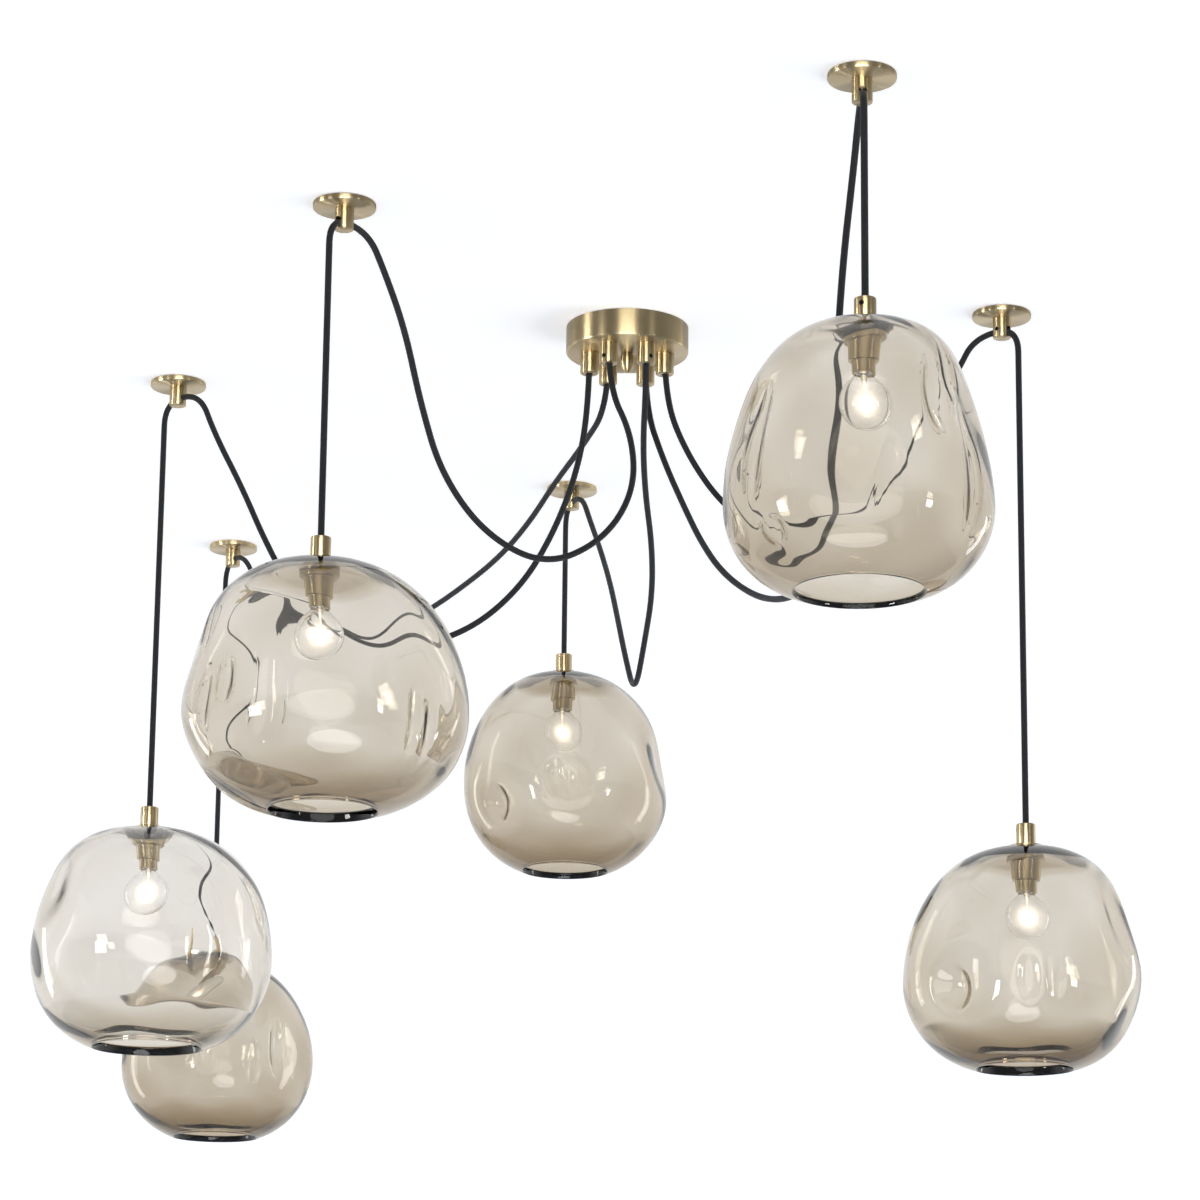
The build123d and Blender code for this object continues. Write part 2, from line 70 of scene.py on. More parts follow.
# %% Six lamps
LAMPS = [
    dict(
        grip=60, smoke=118.0, clamp=246, swag_length=1.282, drop_length=0.207,
        width=0.246, height=0.256, mouth=0.120, belly=0.175,
        fullness=0.65, lean=-0.007, oval=0.02, long_axis=10, cap=0.025, lip_wall=0.0058,
        dents=[(205, 0.089, 0.012, 0.042), (330, 0.099, 0.012, 0.046), (262, 0.184, 0.009, 0.044),
               (30, 0.144, 0.008, 0.044), (350, 0.045, 0.008, 0.055)],
        pinches=[(307, 0.090, 0.015, 0.016, 0.034), (320, 0.062, 0.008, 0.011, 0.026),
                 (326, 0.159, 0.004, 0.009, 0.050), (222, 0.220, 0.005, 0.010, 0.010),
                 (214, 0.134, 0.004, 0.009, 0.045), (70, 0.134, 0.006, 0.016, 0.050)],
        swag=[
            (0.043, 0.017, -0.153), (0.064, -0.025, -0.216), (0.083, -0.075, -0.274),
            (0.105, -0.130, -0.325), (0.135, -0.190, -0.366), (0.159, -0.260, -0.391),
            (0.179, -0.335, -0.403), (0.192, -0.412, -0.401), (0.198, -0.490, -0.389),
            (0.199, -0.562, -0.358), (0.198, -0.602, -0.294), (0.200, -0.618, -0.217),
            (0.205, -0.636, -0.141), (0.212, -0.668, -0.072),
        ],
    ),
    dict(
        grip=240, smoke=92.0, clamp=142, swag_length=0.875, drop_length=0.341,
        width=0.287, height=0.258, mouth=0.110, belly=0.158,
        fullness=0.8, lean=0.009, oval=0.015, long_axis=20, cap=0.078, lip_wall=0.0103,
        dents=[(215, 0.125, 0.011, 0.044), (190, 0.090, 0.008, 0.040), (322, 0.150, 0.012, 0.046),
               (282, 0.070, 0.007, 0.046), (180, 0.215, 0.005, 0.045)],
        pinches=[(229, 0.148, 0.005, 0.009, 0.020), (214, 0.162, 0.005, 0.009, 0.024),
                 (318, 0.185, 0.005, 0.010, 0.030), (328, 0.190, 0.005, 0.010, 0.028),
                 (120, 0.110, 0.007, 0.016, 0.050), (205, 0.080, 0.004, 0.010, 0.020)],
        swag=[
            (0.006, -0.067, -0.149), (0.009, -0.096, -0.223), (-0.025, -0.127, -0.289),
            (-0.087, -0.160, -0.328), (-0.152, -0.196, -0.304), (-0.199, -0.234, -0.248),
            (-0.221, -0.273, -0.181), (-0.237, -0.312, -0.113), (-0.258, -0.343, -0.060),
        ],
    ),
    dict(
        grip=180, smoke=50.0, clamp=50, swag_length=0.979, drop_length=0.493,
        width=0.290, height=0.258, mouth=0.127, belly=0.144,
        fullness=0.8, lean=0.007, oval=0.015, long_axis=80, cap=0.027, lip_wall=0.0108,
        dents=[(300, 0.097, 0.006, 0.050), (20, 0.092, 0.009, 0.048), (200, 0.172, 0.006, 0.050),
               (180, 0.050, 0.024, 0.062)],
        pinches=[(20, 0.080, 0.005, 0.012, 0.030), (70, 0.110, 0.005, 0.016, 0.040)],
        swag=[
            (-0.053, 0.020, -0.156), (-0.080, 0.041, -0.229), (-0.120, 0.061, -0.294),
            (-0.181, 0.081, -0.341), (-0.257, 0.100, -0.357), (-0.331, 0.119, -0.339),
            (-0.385, 0.137, -0.283), (-0.422, 0.154, -0.214), (-0.453, 0.171, -0.143),
            (-0.489, 0.187, -0.073),
        ],
    ),
    dict(
        grip=120, smoke=135.0, clamp=30, swag_length=1.206, drop_length=0.524,
        width=0.252, height=0.246, mouth=0.112, belly=0.146,
        fullness=0.8, lean=0.011, oval=0.025, long_axis=0, cap=0.060, lip_wall=0.0088,
        dents=[(325, 0.140, 0.010, 0.046), (230, 0.175, 0.010, 0.046), (280, 0.090, 0.007, 0.046)],
        pinches=[(318, 0.130, 0.005, 0.010, 0.035), (300, 0.160, 0.005, 0.010, 0.030),
                 (268, 0.155, 0.004, 0.010, 0.016)],
        swag=[
            (-0.051, 0.124, -0.103), (-0.084, 0.210, -0.122), (-0.115, 0.295, -0.146),
            (-0.152, 0.378, -0.166), (-0.197, 0.460, -0.180), (-0.245, 0.539, -0.192),
            (-0.296, 0.617, -0.198), (-0.353, 0.692, -0.190), (-0.409, 0.762, -0.165),
            (-0.458, 0.830, -0.124), (-0.500, 0.893, -0.072),
        ],
    ),
    dict(
        grip=300, smoke=128.0, clamp=60, swag_length=1.009, drop_length=0.195,
        width=0.263, height=0.261, mouth=0.109, belly=0.152,
        fullness=0.85, lean=0.005, oval=0.02, long_axis=30, cap=0.066, lip_wall=0.0085,
        dents=[(225, 0.187, 0.015, 0.042), (275, 0.167, 0.009, 0.044), (350, 0.120, 0.012, 0.044),
               (320, 0.077, 0.006, 0.044)],
        pinches=[(220, 0.187, 0.012, 0.018, 0.020), (264, 0.162, 0.006, 0.010, 0.020),
                 (272, 0.170, 0.004, 0.007, 0.016)],
        swag=[
            (0.019, 0.025, -0.128), (0.023, 0.087, -0.171), (0.032, 0.149, -0.213),
            (0.034, 0.212, -0.256), (0.026, 0.274, -0.299), (0.015, 0.336, -0.352),
            (0.003, 0.386, -0.288), (-0.006, 0.436, -0.229), (-0.015, 0.486, -0.172),
            (-0.027, 0.535, -0.116), (-0.042, 0.583, -0.060),
        ],
    ),
    dict(
        grip=0, smoke=104.0, clamp=180, swag_length=0.703, drop_length=0.565,
        width=0.252, height=0.242, mouth=0.104, belly=0.150,
        fullness=0.75, lean=-0.005, oval=0.03, long_axis=0, cap=0.072, lip_wall=0.0106,
        dents=[(5, 0.070, 0.022, 0.048), (230, 0.165, 0.014, 0.042), (300, 0.105, 0.007, 0.046),
               (345, 0.205, 0.013, 0.046)],
        pinches=[(221, 0.166, 0.013, 0.019, 0.022), (266, 0.160, 0.006, 0.011, 0.024),
                 (280, 0.150, 0.004, 0.010, 0.030)],
        swag=[
            (0.068, -0.005, -0.150), (0.110, -0.010, -0.214), (0.172, -0.015, -0.259),
            (0.247, -0.021, -0.248), (0.300, -0.026, -0.193), (0.337, -0.031, -0.126),
            (0.374, -0.038, -0.060),
        ],
    ),
]
for number, lamp in enumerate(LAMPS, 1):
    swing = joints[f"pendant_{number}_swing"]
    lamp["pivot"] = Vector(swing["pos_m"])
    lamp["bore"] = Vector(swing["axis"])
    lamp["hook"] = Vector(mounts[f"hook_{number}_thread"]["pos_m"])
    seat_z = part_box(f"shade_flange_{number}")[0].z
    lamp["seat"] = Vector((lamp["pivot"].x, lamp["pivot"].y, seat_z))
print("lamps hang", [round(-lamp["seat"].z, 3) for lamp in LAMPS], "m below the ceiling")

# %% [markdown]
# ## The camera
# A long lens looks up at the ceiling from about four metres away. The small shift moves the frame
# without tilting the camera further, which keeps the hanging cords upright in the picture.

# %% Camera
CAMERA_PLACE = (-0.02642, -3.99854, -1.397)
CAMERA_PITCH_DEG = 12.8
CAMERA_ROLL_DEG = 0.6
CAMERA_LENS_MM = 110.16
CAMERA_SHIFT_Y = 0.12

camera = bpy.data.objects.new("camera", bpy.data.cameras.new("camera"))
bpy.context.scene.collection.objects.link(camera)
camera.data.sensor_width = 36.0
camera.data.lens = CAMERA_LENS_MM
camera.data.shift_y = CAMERA_SHIFT_Y
camera.data.clip_end = 100.0
camera.location = CAMERA_PLACE
pitch, roll = radians(CAMERA_PITCH_DEG), radians(CAMERA_ROLL_DEG)
level_up = Vector((0, -sin(pitch), cos(pitch)))
right = Vector((1, 0, 0)) * cos(roll) + level_up * sin(roll)
ahead = Vector((0, cos(pitch), sin(pitch)))
camera.rotation_mode = "QUATERNION"
camera_axes = np.column_stack([right, right.cross(ahead), -ahead])
camera.rotation_quaternion = Matrix(camera_axes.tolist()).to_quaternion()
bpy.context.scene.camera = camera
print("camera looks up", CAMERA_PITCH_DEG, "degrees")

# %% [markdown]
# ## Small helpers for modelling by hand
# The brass is all turned work. A lathe walks a tool along a bar, and the same walk makes the mesh: a
# ring of points is extruded and resized from one step of the profile to the next, its seams are closed
# and its sharp edges are broken.

# %% Modelling helpers
TURN_SEGMENTS = 96
SMOOTH_ANGLE = radians(35)


def only(piece):
    """Selects one piece and nothing else."""
    bpy.ops.object.select_all(action="DESELECT")
    piece.select_set(True)
    bpy.context.view_layer.objects.active = piece


def apply_modifier(piece, kind, **settings):
    """Adds a modifier with its settings and applies it at once."""
    only(piece)
    modifier = piece.modifiers.new(kind.lower(), kind)
    for name, value in settings.items():
        setattr(modifier, name, value)
    bpy.ops.object.modifier_apply(modifier=modifier.name)


def arc(centre, radius, start_deg, end_deg, steps):
    """Points of a profile's round stretch, from one angle to another."""
    angles = [radians(start_deg + (end_deg - start_deg) * step / steps) for step in range(steps + 1)]
    return [(centre[0] + radius * cos(a), centre[1] + radius * sin(a)) for a in angles]


def turn(name, profile, edge=0.0005, segments=TURN_SEGMENTS):
    """Turns a piece about the Z axis from (radius, height) steps. A radius of 0 closes a pole."""
    tiny = 1e-6
    bpy.ops.object.select_all(action="DESELECT")
    radius, height = max(profile[0][0], tiny), profile[0][1]
    bpy.ops.mesh.primitive_circle_add(vertices=segments, radius=radius)
    piece = bpy.context.object
    piece.name = name
    bpy.ops.object.mode_set(mode="EDIT")
    bpy.ops.mesh.select_all(action="SELECT")
    bpy.ops.transform.translate(value=(0, 0, height))
    for next_radius, next_height in profile[1:]:
        next_radius = max(next_radius, tiny)
        bpy.ops.mesh.extrude_edges_move(TRANSFORM_OT_translate={"value": (0, 0, next_height - height)})
        share = next_radius / radius
        bpy.ops.transform.resize(value=(share, share, 1), center_override=(0, 0, next_height))
        radius, height = next_radius, next_height
    bpy.ops.mesh.select_all(action="SELECT")
    bpy.ops.mesh.remove_doubles(threshold=4 * tiny)
    bpy.ops.mesh.normals_make_consistent(inside=False)
    bpy.ops.object.mode_set(mode="OBJECT")
    if edge:
        apply_modifier(
            piece, "BEVEL", width=edge, segments=2, limit_method="ANGLE", angle_limit=SMOOTH_ANGLE,
        )
    return piece


def cut_hole(piece, diameter, start, end):
    """Drills a round hole through a piece between two points."""
    start, end = Vector(start), Vector(end)
    bpy.ops.object.select_all(action="DESELECT")
    bpy.ops.mesh.primitive_cylinder_add(vertices=48, radius=diameter / 2, depth=(end - start).length)
    drill = bpy.context.object
    drill.rotation_mode = "QUATERNION"
    drill.rotation_quaternion = (end - start).to_track_quat("Z", "Y")
    drill.location = (start + end) / 2
    apply_modifier(piece, "BOOLEAN", operation="DIFFERENCE", object=drill, solver="EXACT")
    bpy.data.objects.remove(drill)


print("a turned piece has", TURN_SEGMENTS, "segments")

# %% [markdown]
# ## Finishing, copying and seating
# A turned piece keeps each point's place about its own axis, so that the turning marks can follow it
# wherever it is put. What repeats is modelled once and copied. A copy is moved by its mesh, and its
# object stays at the origin as the frame's own pieces do. Seating a piece says which body carries it
# and which node of the frame it stands for. Brass pieces are also gathered in a collection, because
# some of the light is meant for them alone.

# %% Finishing, copying and seating


def places_of(piece):
    """The places of a piece's points, one row each."""
    places = np.zeros(3 * len(piece.data.vertices))
    piece.data.vertices.foreach_get("co", places)
    return places.reshape(-1, 3)


def give_finish(piece, material):
    """Leaves one finish on a piece."""
    piece.data.materials.clear()
    piece.data.materials.append(material)


def finish_turned(piece, material):
    """Smooths a turned piece, keeps its places about its own axis, and gives it its finish."""
    only(piece)
    bpy.ops.object.shade_smooth_by_angle(angle=SMOOTH_ANGLE)
    about_axis = piece.data.attributes.new("about_axis", "FLOAT_VECTOR", "POINT")
    about_axis.data.foreach_set("vector", places_of(piece).ravel())
    give_finish(piece, material)


def put_copy(master, name, place, turn_rad=0.0):
    """A copy of a modelled piece with its own mesh, at its place, its object at the origin."""
    only(master)
    bpy.ops.object.duplicate(linked=False)
    copy = bpy.context.object
    copy.name = name
    copy.location = place
    copy.rotation_euler = (0, 0, turn_rad)
    bpy.ops.object.transform_apply(location=True, rotation=True, scale=True)
    about_axis = copy.data.attributes.get("about_axis")
    if about_axis and turn_rad:
        places = np.zeros(3 * len(about_axis.data), np.float32)
        about_axis.data.foreach_get("vector", places)
        turned = places.reshape(-1, 3) @ np.array(Matrix.Rotation(-turn_rad, 3, "Z"))
        about_axis.data.foreach_set("vector", turned.astype(np.float32).ravel())
    return copy


BRASS_PIECES = bpy.data.collections.new("brass_pieces")


def seat_piece(piece, body, node=None, slot=None):
    """Says which body carries a piece and which frame node it stands for, and gathers brass pieces."""
    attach(piece, body)
    if node:
        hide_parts(node)
    if slot == "brass":
        BRASS_PIECES.objects.link(piece)


def node_size(node):
    """A frame node's lowest and highest height, and its width."""
    low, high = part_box(node)
    return low.z, high.z, high.x - low.x


print("brass pieces are gathered in", BRASS_PIECES.name)

# %% [markdown]
# ## Shared effects
# Two effects are kept as node groups of their own. *Turning marks* draws the fine rings that a tool
# leaves round a piece's axis. *Clouding* is a soft, uneven mask for lacquer, plating and gloss that are
# never quite even, and most of the finishes use it.

# %% Effect groups


def new_group(name, inputs, outputs):
    """An empty shader node group with named sockets."""
    group = bpy.data.node_groups.new(name, "ShaderNodeTree")
    for socket, kind, value in inputs:
        made = group.interface.new_socket(name=socket, in_out="INPUT", socket_type=kind)
        if value is not None:
            made.default_value = value
    for socket, kind in outputs:
        group.interface.new_socket(name=socket, in_out="OUTPUT", socket_type=kind)
    return group, group.nodes.new("NodeGroupInput"), group.nodes.new("NodeGroupOutput")


def math_node(tree, operation, first, second=None):
    """A Math node fed by sockets or plain numbers."""
    node = tree.nodes.new("ShaderNodeMath")
    node.operation = operation
    for socket, value in zip(node.inputs, (first, second)):
        if isinstance(value, (int, float)):
            socket.default_value = value
        elif value is not None:
            tree.links.new(value, socket)
    return node.outputs[0]


def set_inputs(node, values):
    """Sets a node's inputs by their names."""
    for name, value in values.items():
        node.inputs[name].default_value = value


def map_node(tree, value, from_ends, to_ends):
    """A Map Range node that turns one stretch of values into another, and its result."""
    node = tree.nodes.new("ShaderNodeMapRange")
    for socket, number in zip(node.inputs[1:5], (*from_ends, *to_ends)):
        socket.default_value = number
    tree.links.new(value, node.inputs["Value"])
    return node.outputs[0]


def make_turning_marks():
    """Rings round a piece's axis: noise over the radius and the height alone."""
    group, given, out = new_group(
        "turning marks",
        [("About Axis", "NodeSocketVector", None), ("Fineness", "NodeSocketFloat", 900.0)],
        [("Lines", "NodeSocketFloat")],
    )
    split = group.nodes.new("ShaderNodeSeparateXYZ")
    group.links.new(given.outputs["About Axis"], split.inputs[0])
    across = math_node(group, "MULTIPLY", split.outputs["X"], split.outputs["X"])
    along = math_node(group, "MULTIPLY", split.outputs["Y"], split.outputs["Y"])
    radius = math_node(group, "SQRT", math_node(group, "ADD", across, along))
    step = group.nodes.new("ShaderNodeCombineXYZ")
    for size, axis in [(radius, "X"), (split.outputs["Z"], "Y")]:
        group.links.new(math_node(group, "MULTIPLY", size, given.outputs["Fineness"]), step.inputs[axis])
    noise = group.nodes.new("ShaderNodeTexNoise")
    set_inputs(noise, {"Scale": 1.0, "Detail": 4.0, "Roughness": 0.7})
    group.links.new(step.outputs[0], noise.inputs["Vector"])
    group.links.new(noise.outputs[0], out.inputs["Lines"])
    return group


def make_clouding():
    """A soft, uneven mask between two values."""
    group, given, out = new_group(
        "clouding",
        [(name, "NodeSocketFloat", value) for name, value in [("Scale", 20.0), ("From", 0.0), ("To", 1.0)]],
        [("Mask", "NodeSocketFloat")],
    )
    place = group.nodes.new("ShaderNodeTexCoord")
    noise = group.nodes.new("ShaderNodeTexNoise")
    set_inputs(noise, {"Detail": 5.0})
    group.links.new(place.outputs["Object"], noise.inputs["Vector"])
    group.links.new(given.outputs["Scale"], noise.inputs["Scale"])
    spread = group.nodes.new("ShaderNodeMapRange")
    set_inputs(spread, {"From Min": 0.3, "From Max": 0.7})
    group.links.new(noise.outputs[0], spread.inputs["Value"])
    group.links.new(given.outputs["From"], spread.inputs["To Min"])
    group.links.new(given.outputs["To"], spread.inputs["To Max"])
    group.links.new(spread.outputs[0], out.inputs["Mask"])
    return group


TURNING_MARKS = make_turning_marks()
CLOUDING = make_clouding()
print("groups:", [group.name for group in bpy.data.node_groups])

# %% [markdown]
# ## Starting a finish
# Every finish starts from a new material and its Principled shader. The steps that most of them share
# are kept here: placing an effect, mixing two colours by a mask, and adding a fine relief.

# %% Material helpers


def start_material(name):
    """A new material with its tree and its Principled shader."""
    material = bpy.data.materials.new(name)
    material.use_nodes = True
    tree = material.node_tree
    return material, tree, tree.nodes["Principled BSDF"]


def place_group(tree, group, **values):
    """An effect group in a material, with its own values."""
    node = tree.nodes.new("ShaderNodeGroup")
    node.node_tree = group
    set_inputs(node, values)
    return node


def mix_colour(tree, mask, low, high):
    """Two colours mixed by a mask."""
    mix = tree.nodes.new("ShaderNodeMix")
    mix.data_type = "RGBA"
    mix.inputs["A"].default_value = (*low, 1)
    mix.inputs["B"].default_value = (*high, 1)
    tree.links.new(mask, mix.inputs["Factor"])
    return mix.outputs["Result"]


def add_bump(tree, shader, height, strength, distance):
    """A fine relief on a finish."""
    bump = tree.nodes.new("ShaderNodeBump")
    set_inputs(bump, {"Strength": strength, "Distance": distance})
    tree.links.new(height, bump.inputs["Height"])
    tree.links.new(bump.outputs[0], shader.inputs["Normal"])


print("materials so far:", len(bpy.data.materials))

# %% [markdown]
# ## Satin brass
# The metal parts are solid brass, turned and rubbed to a soft satin, then lacquered. Fine rings round
# the axis spread each highlight into an upright streak, and a slow clouding keeps the colour from
# looking like paint.

# %% Brass
BRASS_LOW, BRASS_HIGH = (0.43, 0.335, 0.185), (0.52, 0.415, 0.235)
BRASS_GLOSS = (0.30, 0.40)


def make_brass():
    """Lacquered satin brass whose highlights run across its turning marks."""
    material, tree, shader = start_material("satin_brass")
    about = tree.nodes.new("ShaderNodeAttribute")
    about.attribute_name = "about_axis"
    marks = place_group(tree, TURNING_MARKS, Fineness=1500.0)
    tree.links.new(about.outputs["Vector"], marks.inputs["About Axis"])
    clouds = place_group(tree, CLOUDING, Scale=30.0)
    colour = mix_colour(tree, clouds.outputs["Mask"], BRASS_LOW, BRASS_HIGH)
    tree.links.new(colour, shader.inputs["Base Color"])
    tree.links.new(map_node(tree, marks.outputs["Lines"], (0, 1), BRASS_GLOSS), shader.inputs["Roughness"])
    around = tree.nodes.new("ShaderNodeVectorMath")
    around.operation = "CROSS_PRODUCT"
    around.inputs[0].default_value = (0, 0, 1)
    tree.links.new(about.outputs["Vector"], around.inputs[1])
    in_room = tree.nodes.new("ShaderNodeVectorTransform")
    in_room.convert_from, in_room.convert_to = "OBJECT", "WORLD"
    tree.links.new(around.outputs[0], in_room.inputs[0])
    tree.links.new(in_room.outputs[0], shader.inputs["Tangent"])
    set_inputs(shader, {
        "Metallic": 1.0, "Anisotropic": 1.0, "Anisotropic Rotation": 0.25,
        "Coat Weight": 0.5, "Coat Roughness": 0.28,
    })
    add_bump(tree, shader, marks.outputs["Lines"], 0.10, 0.0002)
    return material


BRASS = make_brass()
print("finish:", BRASS.name)

# %% [markdown]
# ## Cloth cord
# The cable wears a woven black sleeve. Its threads wind both ways round the cord, so two sets of
# slanted waves on the cord's own map give a braid: the map runs one turn round and one metre along.

# %% Cord finish
BRAID_THREADS = 10
BRAID_PITCH = 0.003


def make_cord_cloth():
    """Black cloth, braided by two sets of waves that cross."""
    material, tree, shader = start_material("black_cord_cloth")
    lay = tree.nodes.new("ShaderNodeUVMap")
    lay.uv_map = "round_and_along"
    split = tree.nodes.new("ShaderNodeSeparateXYZ")
    tree.links.new(lay.outputs[0], split.inputs[0])
    round_it = math_node(tree, "MULTIPLY", split.outputs["X"], 2 * pi * BRAID_THREADS)
    along_it = math_node(tree, "MULTIPLY", split.outputs["Y"], 2 * pi / BRAID_PITCH)
    one_way = math_node(tree, "SINE", math_node(tree, "ADD", round_it, along_it))
    other_way = math_node(tree, "SINE", math_node(tree, "SUBTRACT", round_it, along_it))
    braid = math_node(tree, "MAXIMUM", one_way, other_way)
    height = map_node(tree, braid, (-1, 1), (0, 1))
    # The braid's grooves are painted darker than its crests: painted shade in the weave
    colour = mix_colour(tree, height, (0.006, 0.006, 0.007), (0.022, 0.022, 0.023))
    tree.links.new(colour, shader.inputs["Base Color"])
    set_inputs(shader, {"Roughness": 0.75, "Sheen Weight": 0.25, "Sheen Roughness": 0.4})
    add_bump(tree, shader, height, 0.6, 0.0004)
    return material


CORD_CLOTH = make_cord_cloth()
print("finish:", CORD_CLOTH.name)

# %% [markdown]
# ## Smoke glass and clear glass
# Smoke glass is coloured all through, so its tint comes from absorption inside the wall and not from
# its surface. Where the wall is thick, or is seen along its edge, it turns darker by itself. Each shade
# has its own depth of smoke. The bulb's glass is thin and clear, with a painted halo: it is made to glow
# where it faces the eye, standing in for the glow of light round the filament.

# %% Glass finishes
SMOKE_TINT = (0.50, 0.38, 0.165, 1)
WARM_GLOW = (1.0, 0.90, 0.74, 1)
# The painted halo on the bulb glass: how bright it glows in the middle, and how tightly that glow gathers
PAINTED_HALO = 0.55
PAINTED_HALO_FOCUS = 22.0


def start_glass(name, ior):
    """A smooth, colourless glass."""
    material, tree, shader = start_material(name)
    set_inputs(shader, {
        "Base Color": (1, 1, 1, 1), "Roughness": 0.0, "IOR": ior, "Transmission Weight": 1.0,
    })
    return material, tree, shader


def make_smoke_glass(name, density):
    """Glass that takes up light along the way through it."""
    material, tree, _ = start_glass(name, 1.5)
    smoke = tree.nodes.new("ShaderNodeVolumeAbsorption")
    set_inputs(smoke, {"Color": SMOKE_TINT, "Density": density})
    tree.links.new(smoke.outputs[0], tree.nodes["Material Output"].inputs["Volume"])
    return material


def make_clear_glass():
    """Bulb glass with a painted halo: a soft glow in the middle that stands in for the filament's light."""
    material, tree, shader = start_glass("clear_bulb_glass", 1.45)
    set_inputs(shader, {"Emission Color": WARM_GLOW})
    facing = tree.nodes.new("ShaderNodeLayerWeight")
    middle = math_node(tree, "SUBTRACT", 1.0, facing.outputs["Facing"])
    middle = math_node(tree, "POWER", middle, PAINTED_HALO_FOCUS)
    tree.links.new(math_node(tree, "MULTIPLY", middle, PAINTED_HALO), shader.inputs["Emission Strength"])
    return material


SMOKE_GLASS = [
    make_smoke_glass(f"smoke_glass_{number}", lamp["smoke"]) for number, lamp in enumerate(LAMPS, 1)
]
CLEAR_GLASS = make_clear_glass()
print("finishes:", [glass.name for glass in SMOKE_GLASS], CLEAR_GLASS.name)

# %% [markdown]
# ## Plain finishes
# The clamping screws are blackened steel, the hidden hardware is plated steel, the sockets and the
# connector block are white, and the bulb's filament glows.

# %% Other finishes


def make_plain(name, low, high, roughness, metallic, scale):
    """A finish of one colour with a little clouding in colour and gloss."""
    material, tree, shader = start_material(name)
    clouds = place_group(tree, CLOUDING, Scale=scale)
    tree.links.new(mix_colour(tree, clouds.outputs["Mask"], low, high), shader.inputs["Base Color"])
    gloss = place_group(tree, CLOUDING, Scale=2 * scale, From=0.85 * roughness, To=1.15 * roughness)
    tree.links.new(gloss.outputs["Mask"], shader.inputs["Roughness"])
    set_inputs(shader, {"Metallic": metallic})
    return material


BLACK_STEEL = make_plain("black_steel", (0.010, 0.010, 0.011), (0.022, 0.022, 0.024), 0.4, 0.0, 300.0)
PLATED_STEEL = make_plain("plated_steel", (0.52, 0.52, 0.53), (0.62, 0.62, 0.62), 0.35, 1.0, 80.0)
WHITE_INSULATOR = make_plain("white_insulator", (0.80, 0.78, 0.73), (0.86, 0.84, 0.80), 0.5, 0.0, 60.0)


def make_filament():
    """A wire that glows."""
    material, _, shader = start_material("glowing_filament")
    set_inputs(shader, {"Base Color": WARM_GLOW, "Emission Color": WARM_GLOW, "Emission Strength": 30.0})
    return material


FILAMENT = make_filament()
print("finishes:", [made.name for made in (BLACK_STEEL, PLATED_STEEL, WHITE_INSULATOR, FILAMENT)])

# %% [markdown]
# ## Cords
# Each cord is one smooth line through its listed points: out of the canopy's grip, along the swag,
# through the hook's post and down. The straight fall under the hook swings with its pendant, so it is
# a piece of its own and starts inside the end of the swag. A tube is swept along each line and then
# made a mesh, with a map that runs round it and along it.

# %% Cords
CORD_DIAMETER = 0.007
GRIP_CIRCLE = 0.043
CORD_START_Z = -0.022
CORD_LEAD_Z = -0.082
BORE_Z = -0.020
POST_RADIUS = 0.010
HOOK_LEAD = 0.0275
GRIP_FLOOR = 0.007
TAUT_POINT = 0.042


def cord_curve(name, points, radius):
    """An open, smooth line that starts and ends on its end points."""
    data = bpy.data.curves.new(name, "CURVE")
    data.dimensions = "3D"
    data.resolution_u = 12
    data.bevel_depth = radius
    data.bevel_resolution = 5
    data.use_fill_caps = True
    line = data.splines.new("NURBS")
    line.points.add(len(points) - 1)
    for point, place in zip(line.points, points):
        point.co = (*place, 1)
    line.order_u = 3
    line.use_endpoint_u = True
    curve = bpy.data.objects.new(name, data)
    bpy.context.scene.collection.objects.link(curve)
    return curve


def line_of(name, points):
    """The smooth line's own points, read from the spline with no thickness."""
    bare = cord_curve(name + "_line", points, 0)
    line = bpy.data.meshes.new_from_object(bare.evaluated_get(bpy.context.evaluated_depsgraph_get()))
    places = [tuple(vertex.co) for vertex in line.vertices]
    bpy.data.objects.remove(bare)
    return places


def make_cord(name, points):
    """A cloth-covered tube along the line, as a mesh with its own map."""
    tube = cord_curve(name, points, CORD_DIAMETER / 2)
    only(tube)
    bpy.ops.object.convert(target="MESH")
    tube = bpy.context.object
    path = np.array(line_of(name, points))
    steps = np.linalg.norm(np.diff(path, axis=0), axis=1)
    length = float(steps.sum())
    lay = tube.data.uv_layers[0]
    lay.name = "round_and_along"
    flat = np.zeros(2 * len(lay.data), np.float32)
    lay.data.foreach_get("uv", flat)
    flat = flat.reshape(-1, 2)
    along, around = flat[:, 0].copy() * length, flat[:, 1].copy()
    lay.data.foreach_set("uv", np.column_stack([around, along]).ravel())
    give_finish(tube, CORD_CLOTH)
    only(tube)
    bpy.ops.object.shade_smooth_by_angle(angle=SMOOTH_ANGLE)
    return tube, path, length


for number, lamp in enumerate(LAMPS, 1):
    grip_x, grip_y = GRIP_CIRCLE * cos(radians(lamp["grip"])), GRIP_CIRCLE * sin(radians(lamp["grip"]))
    mouth = lamp["hook"] + lamp["bore"] * (POST_RADIUS + HOOK_LEAD)
    pivot = lamp["pivot"]
    route = [
        (grip_x, grip_y, CORD_START_Z),
        (grip_x, grip_y, CORD_LEAD_Z),
        *lamp["swag"],
        (mouth.x, mouth.y, BORE_Z),
        (pivot.x, pivot.y, BORE_Z),
        tuple(pivot),
    ]
    swag, swag_path, swag_length = make_cord(f"swag_cord_cloth_{number}", route)
    seat_piece(swag, "fixture", f"swag_cord_{number}", "black_cord")
    bottom = lamp["seat"].z + GRIP_FLOOR
    fall = [tuple(pivot), (pivot.x, pivot.y, pivot.z - TAUT_POINT), (pivot.x, pivot.y, bottom)]
    drop, drop_path, drop_length = make_cord(f"drop_cord_cloth_{number}", fall)
    seat_piece(drop, f"pendant_{number}", f"drop_cord_{number}", "black_cord")
    print("cord", number, "swag", round(swag_length, 3), "m, fall", round(drop_length, 3), "m")

